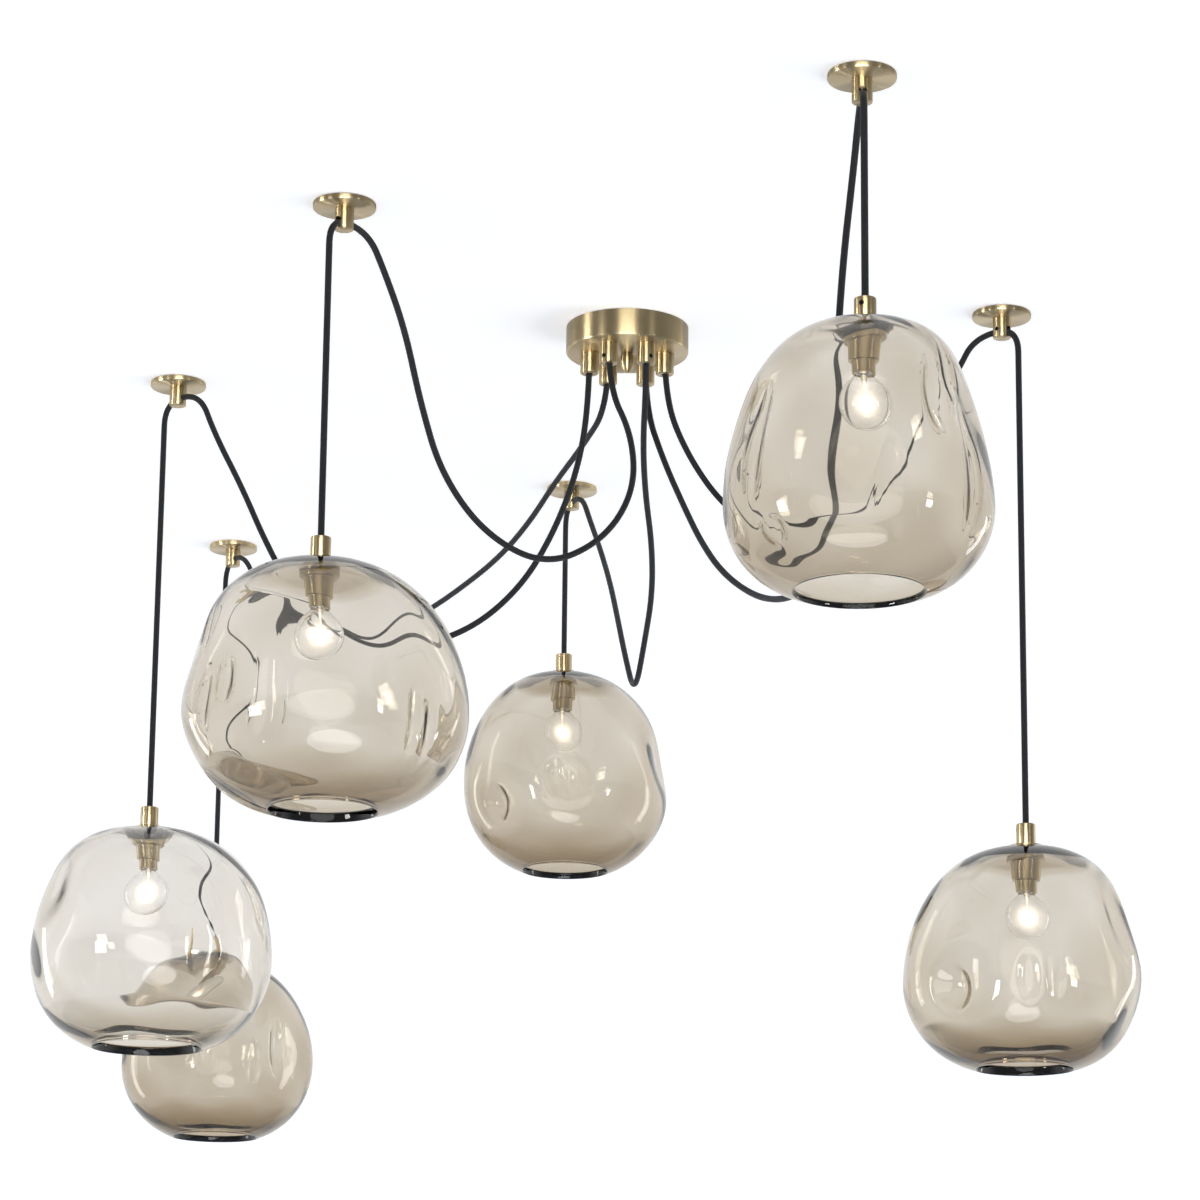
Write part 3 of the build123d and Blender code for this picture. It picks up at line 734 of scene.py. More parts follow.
# %% [markdown]
# ## Canopy
# The canopy is a spun cup with a rolled bottom edge. It is turned in one walk: down the outside, round
# the edge, in to the middle hole, and back along the inside to the rim. The egg-shaped knob below it
# screws on the nipple and holds the cup to the ceiling.

# %% Canopy cup and knob
CUP_WALL = 0.0015
CUP_EDGE = 0.0025
NIPPLE_HOLE = 0.005
KNOB_FACE = 0.0065
KNOB_BORE_DEPTH = 0.009

cup_low, cup_high, cup_width = node_size("canopy_cup")
cup_r = cup_width / 2
cup = turn(
    "canopy_cup_shell",
    [
        (cup_r - CUP_WALL, cup_high),
        (cup_r, cup_high),
        *arc((cup_r - CUP_EDGE, cup_low + CUP_EDGE), CUP_EDGE, 0, -90, 6),
        (NIPPLE_HOLE, cup_low),
        (NIPPLE_HOLE, cup_low + CUP_WALL),
        (cup_r - CUP_WALL, cup_low + CUP_WALL),
        (cup_r - CUP_WALL, cup_high),
    ],
    edge=0.0003, segments=160,
)
finish_turned(cup, BRASS)
seat_piece(cup, "fixture", "canopy_cup", "brass")

knob_low, knob_high, knob_width = node_size("canopy_finial")
knob_r = knob_width / 2
face_angle = acos(KNOB_FACE / knob_r)
knob_half = (knob_high - knob_low) / (1 + sin(face_angle))
egg = arc((0, 0), 1, degrees(face_angle), -90, 24)
bore_end = knob_high - KNOB_BORE_DEPTH
knob = turn(
    "canopy_finial_knob",
    [
        (0, bore_end),
        (NIPPLE_HOLE, bore_end),
        (NIPPLE_HOLE, knob_high),
        *[(r * knob_r, knob_low + knob_half * (1 + h)) for r, h in egg],
    ],
    edge=0.0003,
)
finish_turned(knob, BRASS)
seat_piece(knob, "finial", "canopy_finial", "brass")
print("canopy", round(cup_width, 3), "m wide, knob", round(knob_width, 3), "m")

# %% [markdown]
# ## Cord grips
# A cord grip is a short brass barrel with a bore for the cord and a clamping screw in its side. The
# same barrel hangs under the canopy and stands upside down on every shade. It is drilled for its screw
# and copied.

# %% Grips and their clamping screws
GRIP_RADIUS = 0.0105
GRIP_LENGTH = 0.024
GRIP_CHAMFER = 0.0008
BORE_RADIUS = 0.004
BORE_DEPTH = 0.020
SCREW_FROM_END = 0.007
SCREW_DIAMETER = 0.005
SCREW_HOLE = 0.0052
SCREW_SINK = 0.0005
KEY_DEPTH = 0.0022
KEY_RADIUS = 0.00145


def barrel(name):
    """A grip barrel with its seat on z = 0, its cord end at the other end, its screw hole towards +X."""
    piece = turn(
        name,
        [
            (0, 0),
            (GRIP_RADIUS, 0),
            (GRIP_RADIUS, -GRIP_LENGTH + GRIP_CHAMFER),
            (GRIP_RADIUS - GRIP_CHAMFER, -GRIP_LENGTH),
            (BORE_RADIUS, -GRIP_LENGTH),
            (BORE_RADIUS, -GRIP_LENGTH + BORE_DEPTH),
            (0, -GRIP_LENGTH + BORE_DEPTH),
        ],
        edge=0.0002,
    )
    screw_z = -GRIP_LENGTH + SCREW_FROM_END
    cut_hole(piece, SCREW_HOLE, (BORE_RADIUS, 0, screw_z), (2 * GRIP_RADIUS, 0, screw_z))
    return piece


def clamp_screw(name, outer):
    """A headless screw along X with a hexagon socket, from the cord to just below a barrel's surface."""
    length = outer - CORD_DIAMETER / 2 - SCREW_SINK
    bpy.ops.object.select_all(action="DESELECT")
    bpy.ops.mesh.primitive_cylinder_add(vertices=36, radius=SCREW_DIAMETER / 2, depth=length)
    piece = bpy.context.object
    piece.name = name
    piece.location = (outer - SCREW_SINK - length / 2, 0, 0)
    piece.rotation_euler = (0, pi / 2, 0)
    bpy.ops.object.transform_apply(location=True, rotation=True, scale=True)
    bpy.ops.mesh.primitive_cylinder_add(vertices=6, radius=KEY_RADIUS, depth=2 * KEY_DEPTH)
    key = bpy.context.object
    key.location = (outer - SCREW_SINK, 0, 0)
    key.rotation_euler = (0, pi / 2, 0)
    apply_modifier(piece, "BOOLEAN", operation="DIFFERENCE", object=key, solver="EXACT")
    bpy.data.objects.remove(key)
    only(piece)
    bpy.ops.object.shade_smooth_by_angle(angle=SMOOTH_ANGLE)
    give_finish(piece, BLACK_STEEL)
    return piece


grip_master = barrel("grip_master")
finish_turned(grip_master, BRASS)
screw_master = clamp_screw("screw_master", GRIP_RADIUS)
for number, lamp in enumerate(LAMPS, 1):
    outward = radians(lamp["grip"])
    place = Vector((GRIP_CIRCLE * cos(outward), GRIP_CIRCLE * sin(outward), cup_low))
    grip = put_copy(grip_master, f"canopy_grip_{number}", place, outward)
    seat_piece(grip, "fixture", "canopy_cord_grips", "brass")
    screw_place = place + Vector((0, 0, SCREW_FROM_END - GRIP_LENGTH))
    screw = put_copy(screw_master, f"canopy_grip_screw_{number}", screw_place, outward)
    seat_piece(screw, "fixture", "canopy_clamp_screws", "black_screw")
print("six grips under the canopy")

# %% [markdown]
# ## Ceiling hooks
# A hook is a thick round plate with a post under it. The cord goes through a hole across the post and
# a clamping screw in the side holds it. Plate and post are turned, and the post is drilled twice.

# %% Hooks
PLATE_RADIUS = 0.033
PLATE_THICKNESS = 0.006
POST_END = -0.029
CORD_HOLE = 0.008

plate_master = turn("plate_master", [(0, 0), (PLATE_RADIUS, 0), (PLATE_RADIUS, -PLATE_THICKNESS),
                                     (0, -PLATE_THICKNESS)], edge=0.0010)
finish_turned(plate_master, BRASS)
post_master = turn("post_master", [(0, -PLATE_THICKNESS), (POST_RADIUS, -PLATE_THICKNESS),
                                   (POST_RADIUS, POST_END), (0, POST_END)], edge=0.0006)
cut_hole(post_master, CORD_HOLE, (-2 * POST_RADIUS, 0, BORE_Z), (2 * POST_RADIUS, 0, BORE_Z))
cut_hole(post_master, SCREW_HOLE, (0, 0, BORE_Z), (0, 2 * POST_RADIUS, BORE_Z))
finish_turned(post_master, BRASS)
hook_screw_master = clamp_screw("hook_screw_master", POST_RADIUS)
for number, lamp in enumerate(LAMPS, 1):
    ceiling_place = Vector((lamp["hook"].x, lamp["hook"].y, 0))
    bore_turn = np.arctan2(lamp["bore"].y, lamp["bore"].x)
    plate = put_copy(plate_master, f"hook_plate_{number}", ceiling_place)
    seat_piece(plate, "fixture", "hook_plates", "brass")
    post = put_copy(post_master, f"hook_post_{number}", ceiling_place, bore_turn)
    seat_piece(post, "fixture", "hook_posts", "brass")
    screw_place = ceiling_place + Vector((0, 0, BORE_Z))
    screw = put_copy(hook_screw_master, f"hook_screw_{number}", screw_place, bore_turn + pi / 2)
    seat_piece(screw, "fixture", "hook_clamp_screws", "black_screw")
print("six hooks")

# %% [markdown]
# ## Pendant fittings
# On each shade the barrel stands on a thin flange, and inside the glass a stepped lampholder carries
# the socket. A stud joins the two through the crown of the glass. All of it is turned brass on one axis.

# %% Pendant fittings
FLANGE_RADIUS = 0.019
FLANGE_THICKNESS = 0.003
FLANGE_HOLE = 0.0051
STUD_RADIUS = 0.005
STUD_END = -0.0155
STUD_OVERLAP = 0.0005
HOLDER_TOP = -0.01005
HOLDER_STAGES = [(0.019, 0.005), (0.0145, 0.020), (0.0115, 0.013)]
HOLDER_BORE = 0.0095
HOLDER_BORE_TOP = -0.0200

flange_master = turn(
    "flange_master",
    [
        (FLANGE_HOLE, 0),
        (FLANGE_RADIUS, 0),
        (FLANGE_RADIUS, FLANGE_THICKNESS),
        (FLANGE_HOLE, FLANGE_THICKNESS),
        (FLANGE_HOLE, 0),
    ],
    edge=0.0006,
)
finish_turned(flange_master, BRASS)
holder_steps = [(0, HOLDER_TOP)]
holder_end = HOLDER_TOP
for radius, length in HOLDER_STAGES:
    holder_steps += [(radius, holder_end), (radius, holder_end - length)]
    holder_end -= length
holder_steps += [(HOLDER_BORE, holder_end), (HOLDER_BORE, HOLDER_BORE_TOP), (0, HOLDER_BORE_TOP)]
holder_master = turn("holder_master", holder_steps, edge=0.0007)
finish_turned(holder_master, BRASS)
upright_master = barrel("upright_master")
only(upright_master)
upright_master.rotation_euler = (pi, 0, 0)
bpy.ops.object.transform_apply(location=True, rotation=True, scale=True)
stud = turn(
    "stud",
    [(0, STUD_END), (STUD_RADIUS, STUD_END), (STUD_RADIUS, STUD_OVERLAP), (0, STUD_OVERLAP)],
    edge=0.0004,
)
only(upright_master)
stud.select_set(True)
bpy.ops.object.join()
finish_turned(upright_master, BRASS)
for number, lamp in enumerate(LAMPS, 1):
    body, seat = f"pendant_{number}", lamp["seat"]
    screw_turn = radians(lamp["clamp"])
    flange = put_copy(flange_master, f"shade_flange_ring_{number}", seat)
    seat_piece(flange, body, f"shade_flange_{number}", "brass")
    stand = seat + Vector((0, 0, FLANGE_THICKNESS))
    grip = put_copy(upright_master, f"pendant_grip_{number}", stand, screw_turn)
    seat_piece(grip, body, f"cord_grip_{number}", "brass")
    screw_place = stand + Vector((0, 0, GRIP_LENGTH - SCREW_FROM_END))
    screw = put_copy(screw_master, f"pendant_grip_screw_{number}", screw_place, screw_turn)
    seat_piece(screw, body, None, "black_screw")
    holder = put_copy(holder_master, f"lampholder_cup_{number}", seat)
    seat_piece(holder, body, f"lampholder_{number}", "brass")
print("six pendant fittings")

# %% [markdown]
# ## Bulbs
# A small clear globe bulb: a thin round envelope that runs into its neck, a brass screw shell, a glass
# stem with two wires, and a short glowing filament between them.

# %% Bulbs
BULB_RADIUS = 0.0255
BULB_WALL = 0.0009
NECK_RADIUS = 0.0059
SHOULDER_DEG = 50.0
BULB_SEAT = 0.002
THREAD_RINGS = 7
THREAD_PITCH = 0.0025
THREAD_DEPTH = 0.0004

shoulder = radians(SHOULDER_DEG)
neck_end = holder_end + BULB_SEAT
flare = BULB_RADIUS * cos(shoulder) - NECK_RADIUS
bulb_centre = holder_end - BULB_RADIUS * sin(shoulder) - flare / tan(shoulder)
bulb_master = turn(
    "bulb_master",
    [(NECK_RADIUS, neck_end), *arc((0, bulb_centre), BULB_RADIUS, SHOULDER_DEG, -90, 40)],
    edge=0, segments=72,
)
apply_modifier(bulb_master, "SOLIDIFY", thickness=BULB_WALL, offset=-1.0)
finish_turned(bulb_master, CLEAR_GLASS)
only(bulb_master)
bpy.ops.object.shade_smooth()

thread = []
for ring in range(THREAD_RINGS):
    top = neck_end + ring * THREAD_PITCH
    thread += [(NECK_RADIUS - THREAD_DEPTH, top), (NECK_RADIUS, top + THREAD_PITCH / 2)]
tip = thread[-1][1]
base_master = turn(
    "base_master",
    [*thread, (0.0035, tip + 0.001), (0.0025, tip + 0.002), (0, tip + 0.002)],
    edge=0, segments=48,
)
finish_turned(base_master, BRASS)

stem_end = bulb_centre + 0.009
stem_master = turn(
    "stem_master",
    [(0, neck_end), (0.0040, neck_end), (0.0032, neck_end - 0.006), (0.0016, neck_end - 0.012),
     (0.0013, stem_end + 0.001), (0.0018, stem_end), (0, stem_end - 0.0012)],
    edge=0, segments=32,
)
finish_turned(stem_master, CLEAR_GLASS)
only(stem_master)
bpy.ops.object.shade_smooth()


def wire(name, points, radius, material):
    """A thin round wire through a few points, as a mesh."""
    curve = cord_curve(name, points, radius)
    curve.data.bevel_resolution = 2
    only(curve)
    bpy.ops.object.convert(target="MESH")
    made = bpy.context.object
    give_finish(made, material)
    bpy.ops.object.shade_smooth()
    return made


LEAD_RADIUS = 0.00025
FILAMENT_RADIUS = 0.0006
FILAMENT_HALF = 0.0075
FILAMENT_SAG = 0.0016

filament_z = bulb_centre - 0.001
leads = [
    wire(
        f"lead_{side}",
        [
            (side * 0.0010, 0, stem_end + 0.004),
            (side * 0.0030, 0, stem_end - 0.002),
            (side * FILAMENT_HALF, 0, filament_z),
        ],
        LEAD_RADIUS, PLATED_STEEL,
    )
    for side in (-1, 1)
]
coil = wire(
    "filament_master",
    [
        (-FILAMENT_HALF, 0, filament_z),
        (-FILAMENT_HALF / 2, 0.0010, filament_z - FILAMENT_SAG),
        (0, 0.0014, filament_z),
        (FILAMENT_HALF / 2, 0.0010, filament_z - FILAMENT_SAG),
        (FILAMENT_HALF, 0, filament_z),
    ],
    FILAMENT_RADIUS, FILAMENT,
)
for number, lamp in enumerate(LAMPS, 1):
    body, seat = f"globe_{number}", lamp["seat"]
    envelope = put_copy(bulb_master, f"bulb_glass_{number}", seat)
    seat_piece(envelope, body, f"bulb_{number}", "bulb_glass")
    seat_piece(put_copy(base_master, f"bulb_base_{number}", seat), body, None, "brass")
    seat_piece(put_copy(stem_master, f"bulb_stem_{number}", seat), body, None, "bulb_glass")
    seat_piece(put_copy(coil, f"bulb_filament_{number}", seat), body)
    for side, lead in zip("ab", leads):
        seat_piece(put_copy(lead, f"bulb_lead_{side}_{number}", seat), body, None, "steel")
print("six bulbs, centre", round(-bulb_centre, 4), "m below the seat")

# %% [markdown]
# ## Blown-glass shades
# This is the piece that takes the most skill. A bubble is blown, pushed in here and there while it is
# soft, and opened at the bottom. Here each ring of a sphere is moved to the blown profile with its
# dents, both poles are taken out, and the crown is closed as far as the stud's hole. The wall gets its
# thickness from a vertex group: it grows a little from the shoulder down, is thick in the crown and
# tapers to a thick lip. The tapers work as wedges and bend the room into view, so the crown and the
# foot look darker. A slow ripple keeps the wall from being even, and that bends the lines seen through
# the glass.

# %% Shades
GLASS_SEGMENTS = 240
GLASS_RINGS = 150
GLASS_SEAT_RADIUS = 0.021
STUD_HOLE = 0.0055
WALL = 0.0026
WALL_SAG = 0.0022
CROWN_WALL = 0.010
WALL_MOST = 0.012
CAP_EDGE = 0.5
FOOT = 0.042
LIP_ROUND = 0.0016
RIPPLE = 0.0003
WALL_RIPPLE = 0.00035
RIPPLE_SHIFT = 1.7


def profile_angle(lamp, radius):
    """The angle down from the crown at which the blown profile has a given radius."""
    return asin((2 * radius / lamp["width"]) ** (1 / lamp["fullness"]))


def apart_from(turns, direction, half):
    """How far round the glass each point is from a direction."""
    return half * np.abs((turns - radians(direction) + pi) % (2 * pi) - pi)


def blown_places(lamp, angles, turns, phase):
    """The outer surface of a blown shade, with its seat at the origin."""
    half = lamp["width"] / 2
    rise = lamp["belly"] / cos(profile_angle(lamp, GLASS_SEAT_RADIUS))
    fall = (lamp["belly"] - lamp["height"]) / cos(pi - profile_angle(lamp, lamp["mouth"] / 2))
    soft = np.sin(angles) ** 2
    radius = half * np.sin(angles) ** lamp["fullness"]
    height = np.where(angles < pi / 2, rise, fall) * np.cos(angles) - lamp["belly"]
    radius *= 1 + lamp["oval"] * soft * np.cos(2 * (turns - radians(lamp["long_axis"])))
    for direction, depth, push, reach in lamp["dents"]:
        away = apart_from(turns, direction, half)
        radius -= push * soft * np.exp(-(away**2 + (height + depth) ** 2) / reach**2)
    for direction, depth, push, across, down in lamp["pinches"]:
        away = apart_from(turns, direction, half)
        radius -= push * soft * np.exp(-(((away / across) ** 2 + ((height + depth) / down) ** 2) ** 2))
    # Two slow waves that wind round the glass and cross
    ripple = np.sin(3 * turns + 40 * height + phase) + np.sin(5 * turns - 55 * height + 2 * phase)
    radius += RIPPLE * soft * ripple
    aside = lamp["lean"] * np.where(angles < pi / 2, soft, 1)
    return np.column_stack([aside + radius * np.cos(turns), radius * np.sin(turns), height])


def wall_at(lamp, angles, heights, turns, phase):
    """The wall's thickness: thin at the belly, thick at the crown and the lip, nowhere quite even."""
    crown, cap = (profile_angle(lamp, radius) for radius in (GLASS_SEAT_RADIUS, lamp["cap"]))
    to_crown = np.clip((cap - angles) / (CAP_EDGE * (cap - crown)), 0, 1)
    to_lip = np.clip(1 - (lamp["height"] + heights) / FOOT, 0, 1)
    ripple = np.sin(4 * turns + 5 * angles + phase) + np.sin(7 * turns - 7 * angles + 3 * phase)
    belly = WALL + WALL_SAG * (heights / lamp["height"]) ** 2
    thick = (CROWN_WALL - belly) * to_crown + (lamp["lip_wall"] - belly) * to_lip
    return belly + thick + WALL_RIPPLE * (1 - to_crown) * (1 - to_lip) * ripple


def blow_shade(number, lamp):
    """One shade: a sphere moved to its blown form, opened, given its wall and put in its place."""
    bpy.ops.object.select_all(action="DESELECT")
    bpy.ops.mesh.primitive_uv_sphere_add(segments=GLASS_SEGMENTS, ring_count=GLASS_RINGS, radius=1)
    bubble = bpy.context.object
    bubble.name = f"blown_shade_{number}"
    bpy.ops.object.mode_set(mode="EDIT")
    bpy.ops.mesh.select_mode(type="VERT")
    bpy.ops.mesh.select_all(action="DESELECT")
    bpy.ops.object.mode_set(mode="OBJECT")
    places = places_of(bubble)
    first_ring = pi / GLASS_RINGS
    share = (np.arccos(np.clip(places[:, 2], -1, 1)) - first_ring) / (pi - 2 * first_ring)
    share = np.clip(share, 0, 1)
    turns = np.arctan2(places[:, 1], places[:, 0])
    crown = profile_angle(lamp, GLASS_SEAT_RADIUS)
    lip = pi - profile_angle(lamp, lamp["mouth"] / 2)
    phase = RIPPLE_SHIFT * number
    angles = crown + (lip - crown) * share
    outer = blown_places(lamp, angles, turns, phase)
    poles = np.abs(places[:, 2]) > cos(first_ring / 2)
    bubble.data.vertices.foreach_set("co", outer.ravel())
    bubble.data.vertices.foreach_set("select", poles)
    thickness = bubble.vertex_groups.new(name="wall")
    for index, wall in enumerate(wall_at(lamp, angles, outer[:, 2], turns, phase) / WALL_MOST):
        thickness.add([index], float(wall), "REPLACE")
    only(bubble)
    bpy.ops.object.mode_set(mode="EDIT")
    bpy.ops.mesh.delete(type="VERT")
    bpy.ops.object.mode_set(mode="OBJECT")
    top_ring = places_of(bubble)[:, 2] > -1e-5
    bubble.data.vertices.foreach_set("select", top_ring)
    bpy.ops.object.mode_set(mode="EDIT")
    bpy.ops.mesh.extrude_edges_move(TRANSFORM_OT_translate={"value": (0, 0, 0)})
    share_in = STUD_HOLE / GLASS_SEAT_RADIUS
    bpy.ops.transform.resize(value=(share_in, share_in, 1), center_override=(0, 0, 0))
    bpy.ops.mesh.select_all(action="SELECT")
    bpy.ops.mesh.normals_make_consistent(inside=False)
    bpy.ops.object.mode_set(mode="OBJECT")
    apply_modifier(
        bubble, "SOLIDIFY", thickness=WALL_MOST, offset=-1.0, vertex_group="wall", use_even_offset=True,
    )
    apply_modifier(
        bubble, "BEVEL", width=LIP_ROUND, segments=4, limit_method="ANGLE", angle_limit=radians(50),
    )
    only(bubble)
    bpy.ops.object.shade_smooth()
    give_finish(bubble, SMOKE_GLASS[number - 1])
    bubble.location = lamp["seat"]
    bpy.ops.object.transform_apply(location=True, rotation=True, scale=True)
    return bubble


for number, lamp in enumerate(LAMPS, 1):
    shade = blow_shade(number, lamp)
    seat_piece(shade, f"pendant_{number}", f"shade_{number}", "smoke_glass")
    print(shade.name, len(shade.data.polygons), "faces")

# %% [markdown]
# ## What stays as it came
# The hardware inside the canopy and the sockets inside the lampholders keep the frame's own shapes and
# only get their finishes. The masters that were copied are no longer needed.

# %% Finishes of the frame's own pieces, and clearing up
for node, material in [
    ("canopy_crossbar", PLATED_STEEL), ("canopy_nipple", PLATED_STEEL), ("canopy_nuts", PLATED_STEEL),
    ("terminal_block", WHITE_INSULATOR),
    *[(f"lamp_socket_{number}", WHITE_INSULATOR) for number in range(1, len(LAMPS) + 1)],
]:
    give_finish(frame["nodes"][node], material)
for master in [
    grip_master, screw_master, plate_master, post_master, hook_screw_master, flange_master, holder_master,
    upright_master, bulb_master, base_master, stem_master, coil, *leads,
]:
    bpy.data.objects.remove(master)
print("masters cleared")

# %% [markdown]
# ## Ceiling and floor
# The lamp hangs from a white ceiling over a pale floor. The ceiling is one-sided, so that the lamp can
# also be looked at from above. What the ceiling's own light leaves short of white is added for rays
# from the camera and through glass. In clear reflections it stays white too, but brushed brass sees it
# darker on the near side, which gives the metal its contrast.

# %% Ceiling and floor
CEILING_SIZE = 40.0
CEILING_MIDDLE_Y = -9.0
CEILING_GAP = 0.0006
FLOOR_SIZE = 9.0
FLOOR_Z = -3.4
# Two depths along the ceiling's own Y axis, and what it adds between them
GLOW_FROM_TO = (-9.5, -14.0)
GLOW_NEAR_FAR = (0.447, 0.41)
# How bright the near and the far side look in brass, and the ceiling in clear glass
CEILING_DEPTH = (-8.9, -9.6)
ROOM_MIRRORED = (0.32, 0.95)
CEILING_IN_GLASS = 0.95


def add_plane(name, size, place, upside_down=False):
    """A flat square of the stage."""
    bpy.ops.object.select_all(action="DESELECT")
    bpy.ops.mesh.primitive_plane_add(size=size, location=place)
    plane = bpy.context.object
    plane.name = name
    if upside_down:
        plane.rotation_euler = (pi, 0, 0)
    return plane


def make_ceiling_paint():
    """White paint that reads white behind the lamp, keeps its shadows, and is clear from above."""
    material, tree, shader = start_material("ceiling_paint")
    set_inputs(shader, {
        "Base Color": (0.80, 0.80, 0.80, 1), "Roughness": 0.9, "Emission Color": (1, 1, 1, 1),
    })
    path = tree.nodes.new("ShaderNodeLightPath")
    place = tree.nodes.new("ShaderNodeTexCoord")
    split = tree.nodes.new("ShaderNodeSeparateXYZ")
    tree.links.new(place.outputs["Object"], split.inputs[0])
    depth = split.outputs["Y"]
    seen = math_node(tree, "ADD", path.outputs["Is Camera Ray"], path.outputs["Is Transmission Ray"])
    glow = map_node(tree, depth, GLOW_FROM_TO, GLOW_NEAR_FAR)
    tree.links.new(math_node(tree, "MULTIPLY", seen, glow), shader.inputs["Emission Strength"])
    mirrored = tree.nodes.new("ShaderNodeEmission")
    in_brass = map_node(tree, depth, CEILING_DEPTH, ROOM_MIRRORED)
    in_glass = math_node(tree, "MULTIPLY", path.outputs["Is Singular Ray"], CEILING_IN_GLASS)
    tree.links.new(math_node(tree, "MAXIMUM", in_brass, in_glass), mirrored.inputs["Strength"])
    clear = tree.nodes.new("ShaderNodeBsdfTransparent")
    side = tree.nodes.new("ShaderNodeNewGeometry")
    paint = shader
    for mask, other in [(path.outputs["Is Glossy Ray"], mirrored), (side.outputs["Backfacing"], clear)]:
        mix = tree.nodes.new("ShaderNodeMixShader")
        tree.links.new(mask, mix.inputs[0])
        tree.links.new(paint.outputs[0], mix.inputs[1])
        tree.links.new(other.outputs[0], mix.inputs[2])
        paint = mix
    tree.links.new(paint.outputs[0], tree.nodes["Material Output"].inputs["Surface"])
    return material


def make_floor_paint():
    """A plain pale floor."""
    material, _, shader = start_material("pale_floor")
    set_inputs(shader, {"Base Color": (0.72, 0.71, 0.70, 1), "Roughness": 0.8})
    return material


ceiling = add_plane("ceiling", CEILING_SIZE, (0, CEILING_MIDDLE_Y, CEILING_GAP), upside_down=True)
ceiling.data.materials.append(make_ceiling_paint())
floor = add_plane("floor", FLOOR_SIZE, (0, 0, FLOOR_Z))
floor.data.materials.append(make_floor_paint())
print("ceiling", CEILING_SIZE, "m wide, floor at", FLOOR_Z, "m")

# %% [markdown]
# ## Lights
# A distant key light throws the soft shadows of the brass on the ceiling. The other lights are there
# for their reflections. Two show in the brass alone and draw its upright streaks, and the rest put
# windows and soft patches on the glass, as lamps and windows in a studio do.

# %% Lights
KEY_STRENGTH = 1.35
KEY_SPREAD_DEG = 36
LAMP_MIDDLE = Vector((0, 0, -0.45))


def aimed_light(name, kind, power, place, aim):
    """A light that stands in a place and points at another. The camera doesn't see it."""
    light = bpy.data.objects.new(name, bpy.data.lights.new(name, kind))
    bpy.context.scene.collection.objects.link(light)
    light.data.energy = power
    light.location = place
    light.rotation_mode = "QUATERNION"
    light.rotation_quaternion = (aim - Vector(place)).to_track_quat("-Z", "Y")
    light.visible_camera = False
    return light


def soft_light(name, place, width, height, power, shape="RECTANGLE", only_brass=False):
    """A wide light for the glass and the brass, or for the brass alone. Matt surfaces don't get it."""
    light = aimed_light(name, "AREA", power, place, LAMP_MIDDLE)
    light.data.shape = shape
    light.data.size = width
    light.data.size_y = height
    light.visible_diffuse = False
    if only_brass:
        light.light_linking.receiver_collection = BRASS_PIECES


key = aimed_light("right_key", "SUN", KEY_STRENGTH, (4.2, 0.6, -2.8), Vector((0, 0, 0)))
key.data.angle = radians(KEY_SPREAD_DEG)
key.visible_glossy = False
key.visible_transmission = False
key.light_linking.blocker_collection = BRASS_PIECES
soft_light("brass_front", (0.0, -3.6, -1.1), 1.9, 0.7, 150, only_brass=True)
soft_light("brass_left", (-2.9, -0.5, -0.9), 0.5, 1.2, 55, only_brass=True)
soft_light("front_softbox", (0.0, -3.6, -1.3), 3.2, 2.0, 24, "ELLIPSE")
soft_light("low_front", (0.1, -1.5, -2.1), 1.3, 1.0, 11, "ELLIPSE")
soft_light("left_window", (-2.2, -1.9, -1.1), 0.5, 0.5, 12)
soft_light("right_window", (2.2, -2.1, -0.9), 0.3, 0.3, 5)
soft_light("right_softbox", (2.6, 1.4, -0.75), 0.35, 1.4, 5)
soft_light("left_softbox", (-2.6, 1.4, -0.85), 0.35, 1.3, 5)
print("lights:", [light.name for light in bpy.data.lights])

# %% [markdown]
# ## The room
# Thick glass bends sight lines past the ceiling, so the room beyond it matters. It is white above and
# at the sides, with a grey-blue far wall just under eye level, and that is what gives the feet of the
# shades their slate tone. In reflections it is a plain grey, dark on the near side and bright on the
# far side.

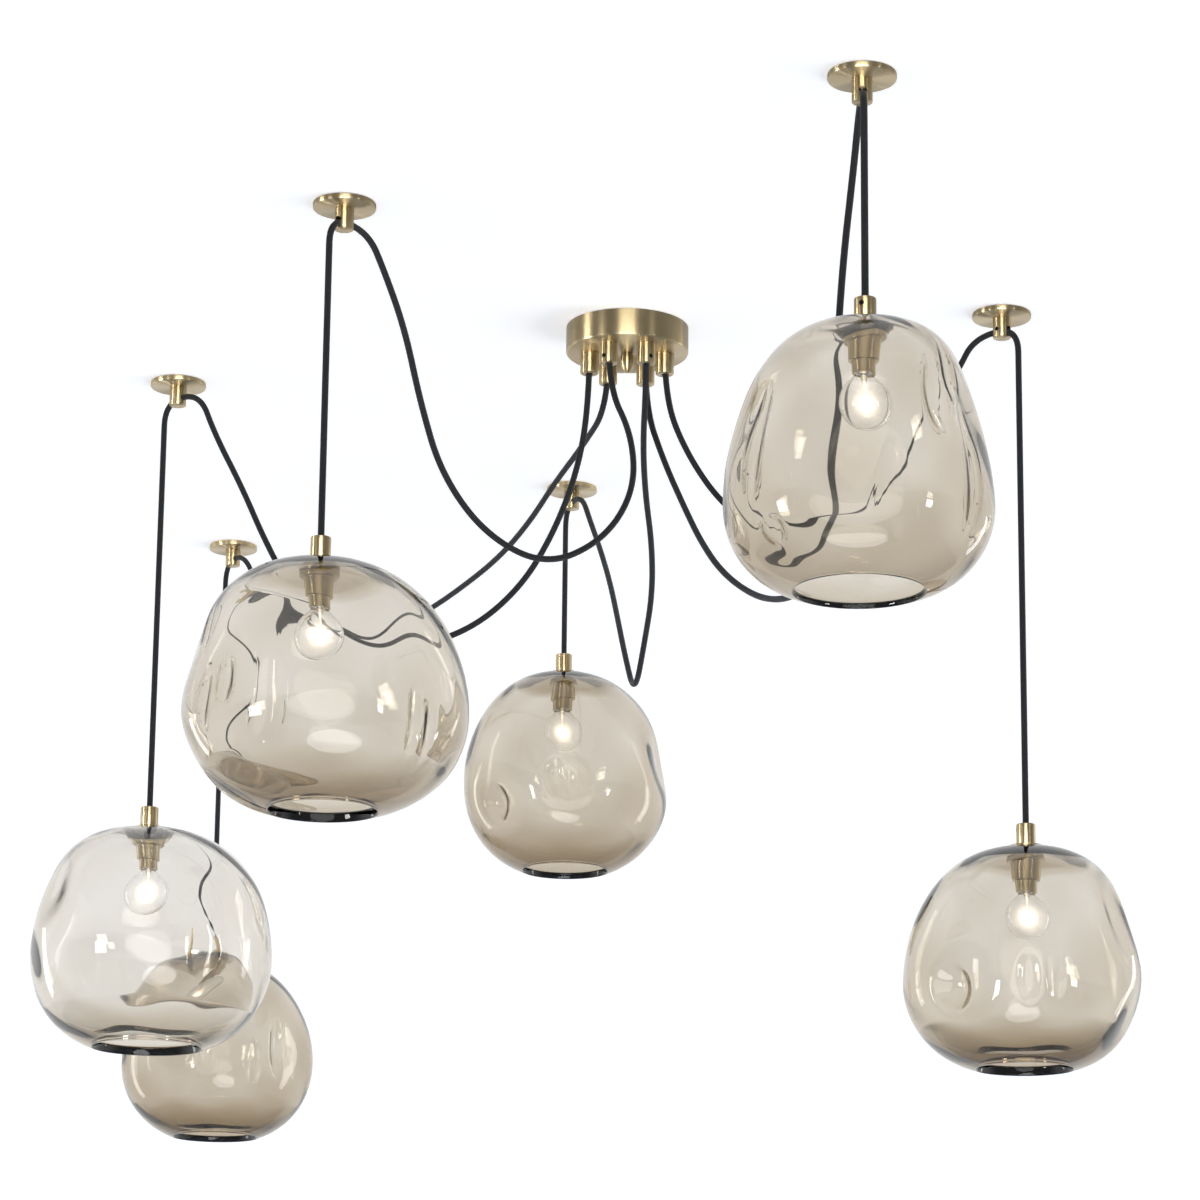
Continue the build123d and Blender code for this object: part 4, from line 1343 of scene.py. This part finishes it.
# %% Room
# Each band is the slope of a sight line, up or down, and the colour seen there
ROOM_BANDS = [
    (-0.35, (0.36, 0.48, 0.70)), (-0.12, (0.25, 0.38, 0.66)),
    (0.015, (0.16, 0.27, 0.60)), (0.070, (0.95, 0.95, 0.95)),
]
ROOM_WHITE = (*ROOM_BANDS[-1][1], 1)
# Sight lines this far aside turn white, and reflected ones this far back turn bright
ROOM_WIDTH = (0.45, 0.75)
ROOM_DEPTH = (-0.35, 0.05)


def make_room():
    """A world that is white above, grey-blue at the far wall and paler towards the floor."""
    world = bpy.data.worlds.new("room")
    bpy.context.scene.world = world
    world.use_nodes = True
    tree = world.node_tree
    direction = tree.nodes.new("ShaderNodeTexCoord")
    split = tree.nodes.new("ShaderNodeSeparateXYZ")
    tree.links.new(direction.outputs["Generated"], split.inputs[0])
    bands = tree.nodes.new("ShaderNodeValToRGB")
    tree.links.new(map_node(tree, split.outputs["Z"], (-1, 1), (0, 1)), bands.inputs[0])
    stops = bands.color_ramp.elements
    for stop, (slope, colour) in zip(stops, (ROOM_BANDS[0], ROOM_BANDS[-1])):
        stop.position = (1 + slope) / 2
        stop.color = (*colour, 1)
    for slope, colour in ROOM_BANDS[1:-1]:
        stops.new((1 + slope) / 2).color = (*colour, 1)
    path = tree.nodes.new("ShaderNodeLightPath")
    aside = map_node(tree, math_node(tree, "ABSOLUTE", split.outputs["X"]), ROOM_WIDTH, (0, 1))
    in_metal = map_node(tree, split.outputs["Y"], ROOM_DEPTH, ROOM_MIRRORED)
    colour = bands.outputs[0]
    for mask, other in [(aside, None), (path.outputs["Is Glossy Ray"], in_metal)]:
        mix = tree.nodes.new("ShaderNodeMix")
        mix.data_type = "RGBA"
        mix.inputs["B"].default_value = ROOM_WHITE
        tree.links.new(mask, mix.inputs["Factor"])
        tree.links.new(colour, mix.inputs["A"])
        if other:
            tree.links.new(other, mix.inputs["B"])
        colour = mix.outputs["Result"]
    tree.links.new(colour, tree.nodes["Background"].inputs["Color"])


make_room()
bpy.context.scene.view_settings.view_transform = "Standard"
print("room with", len(ROOM_BANDS), "bands")

# %% Finish
bpy.ops.object.select_all(action="DESELECT")
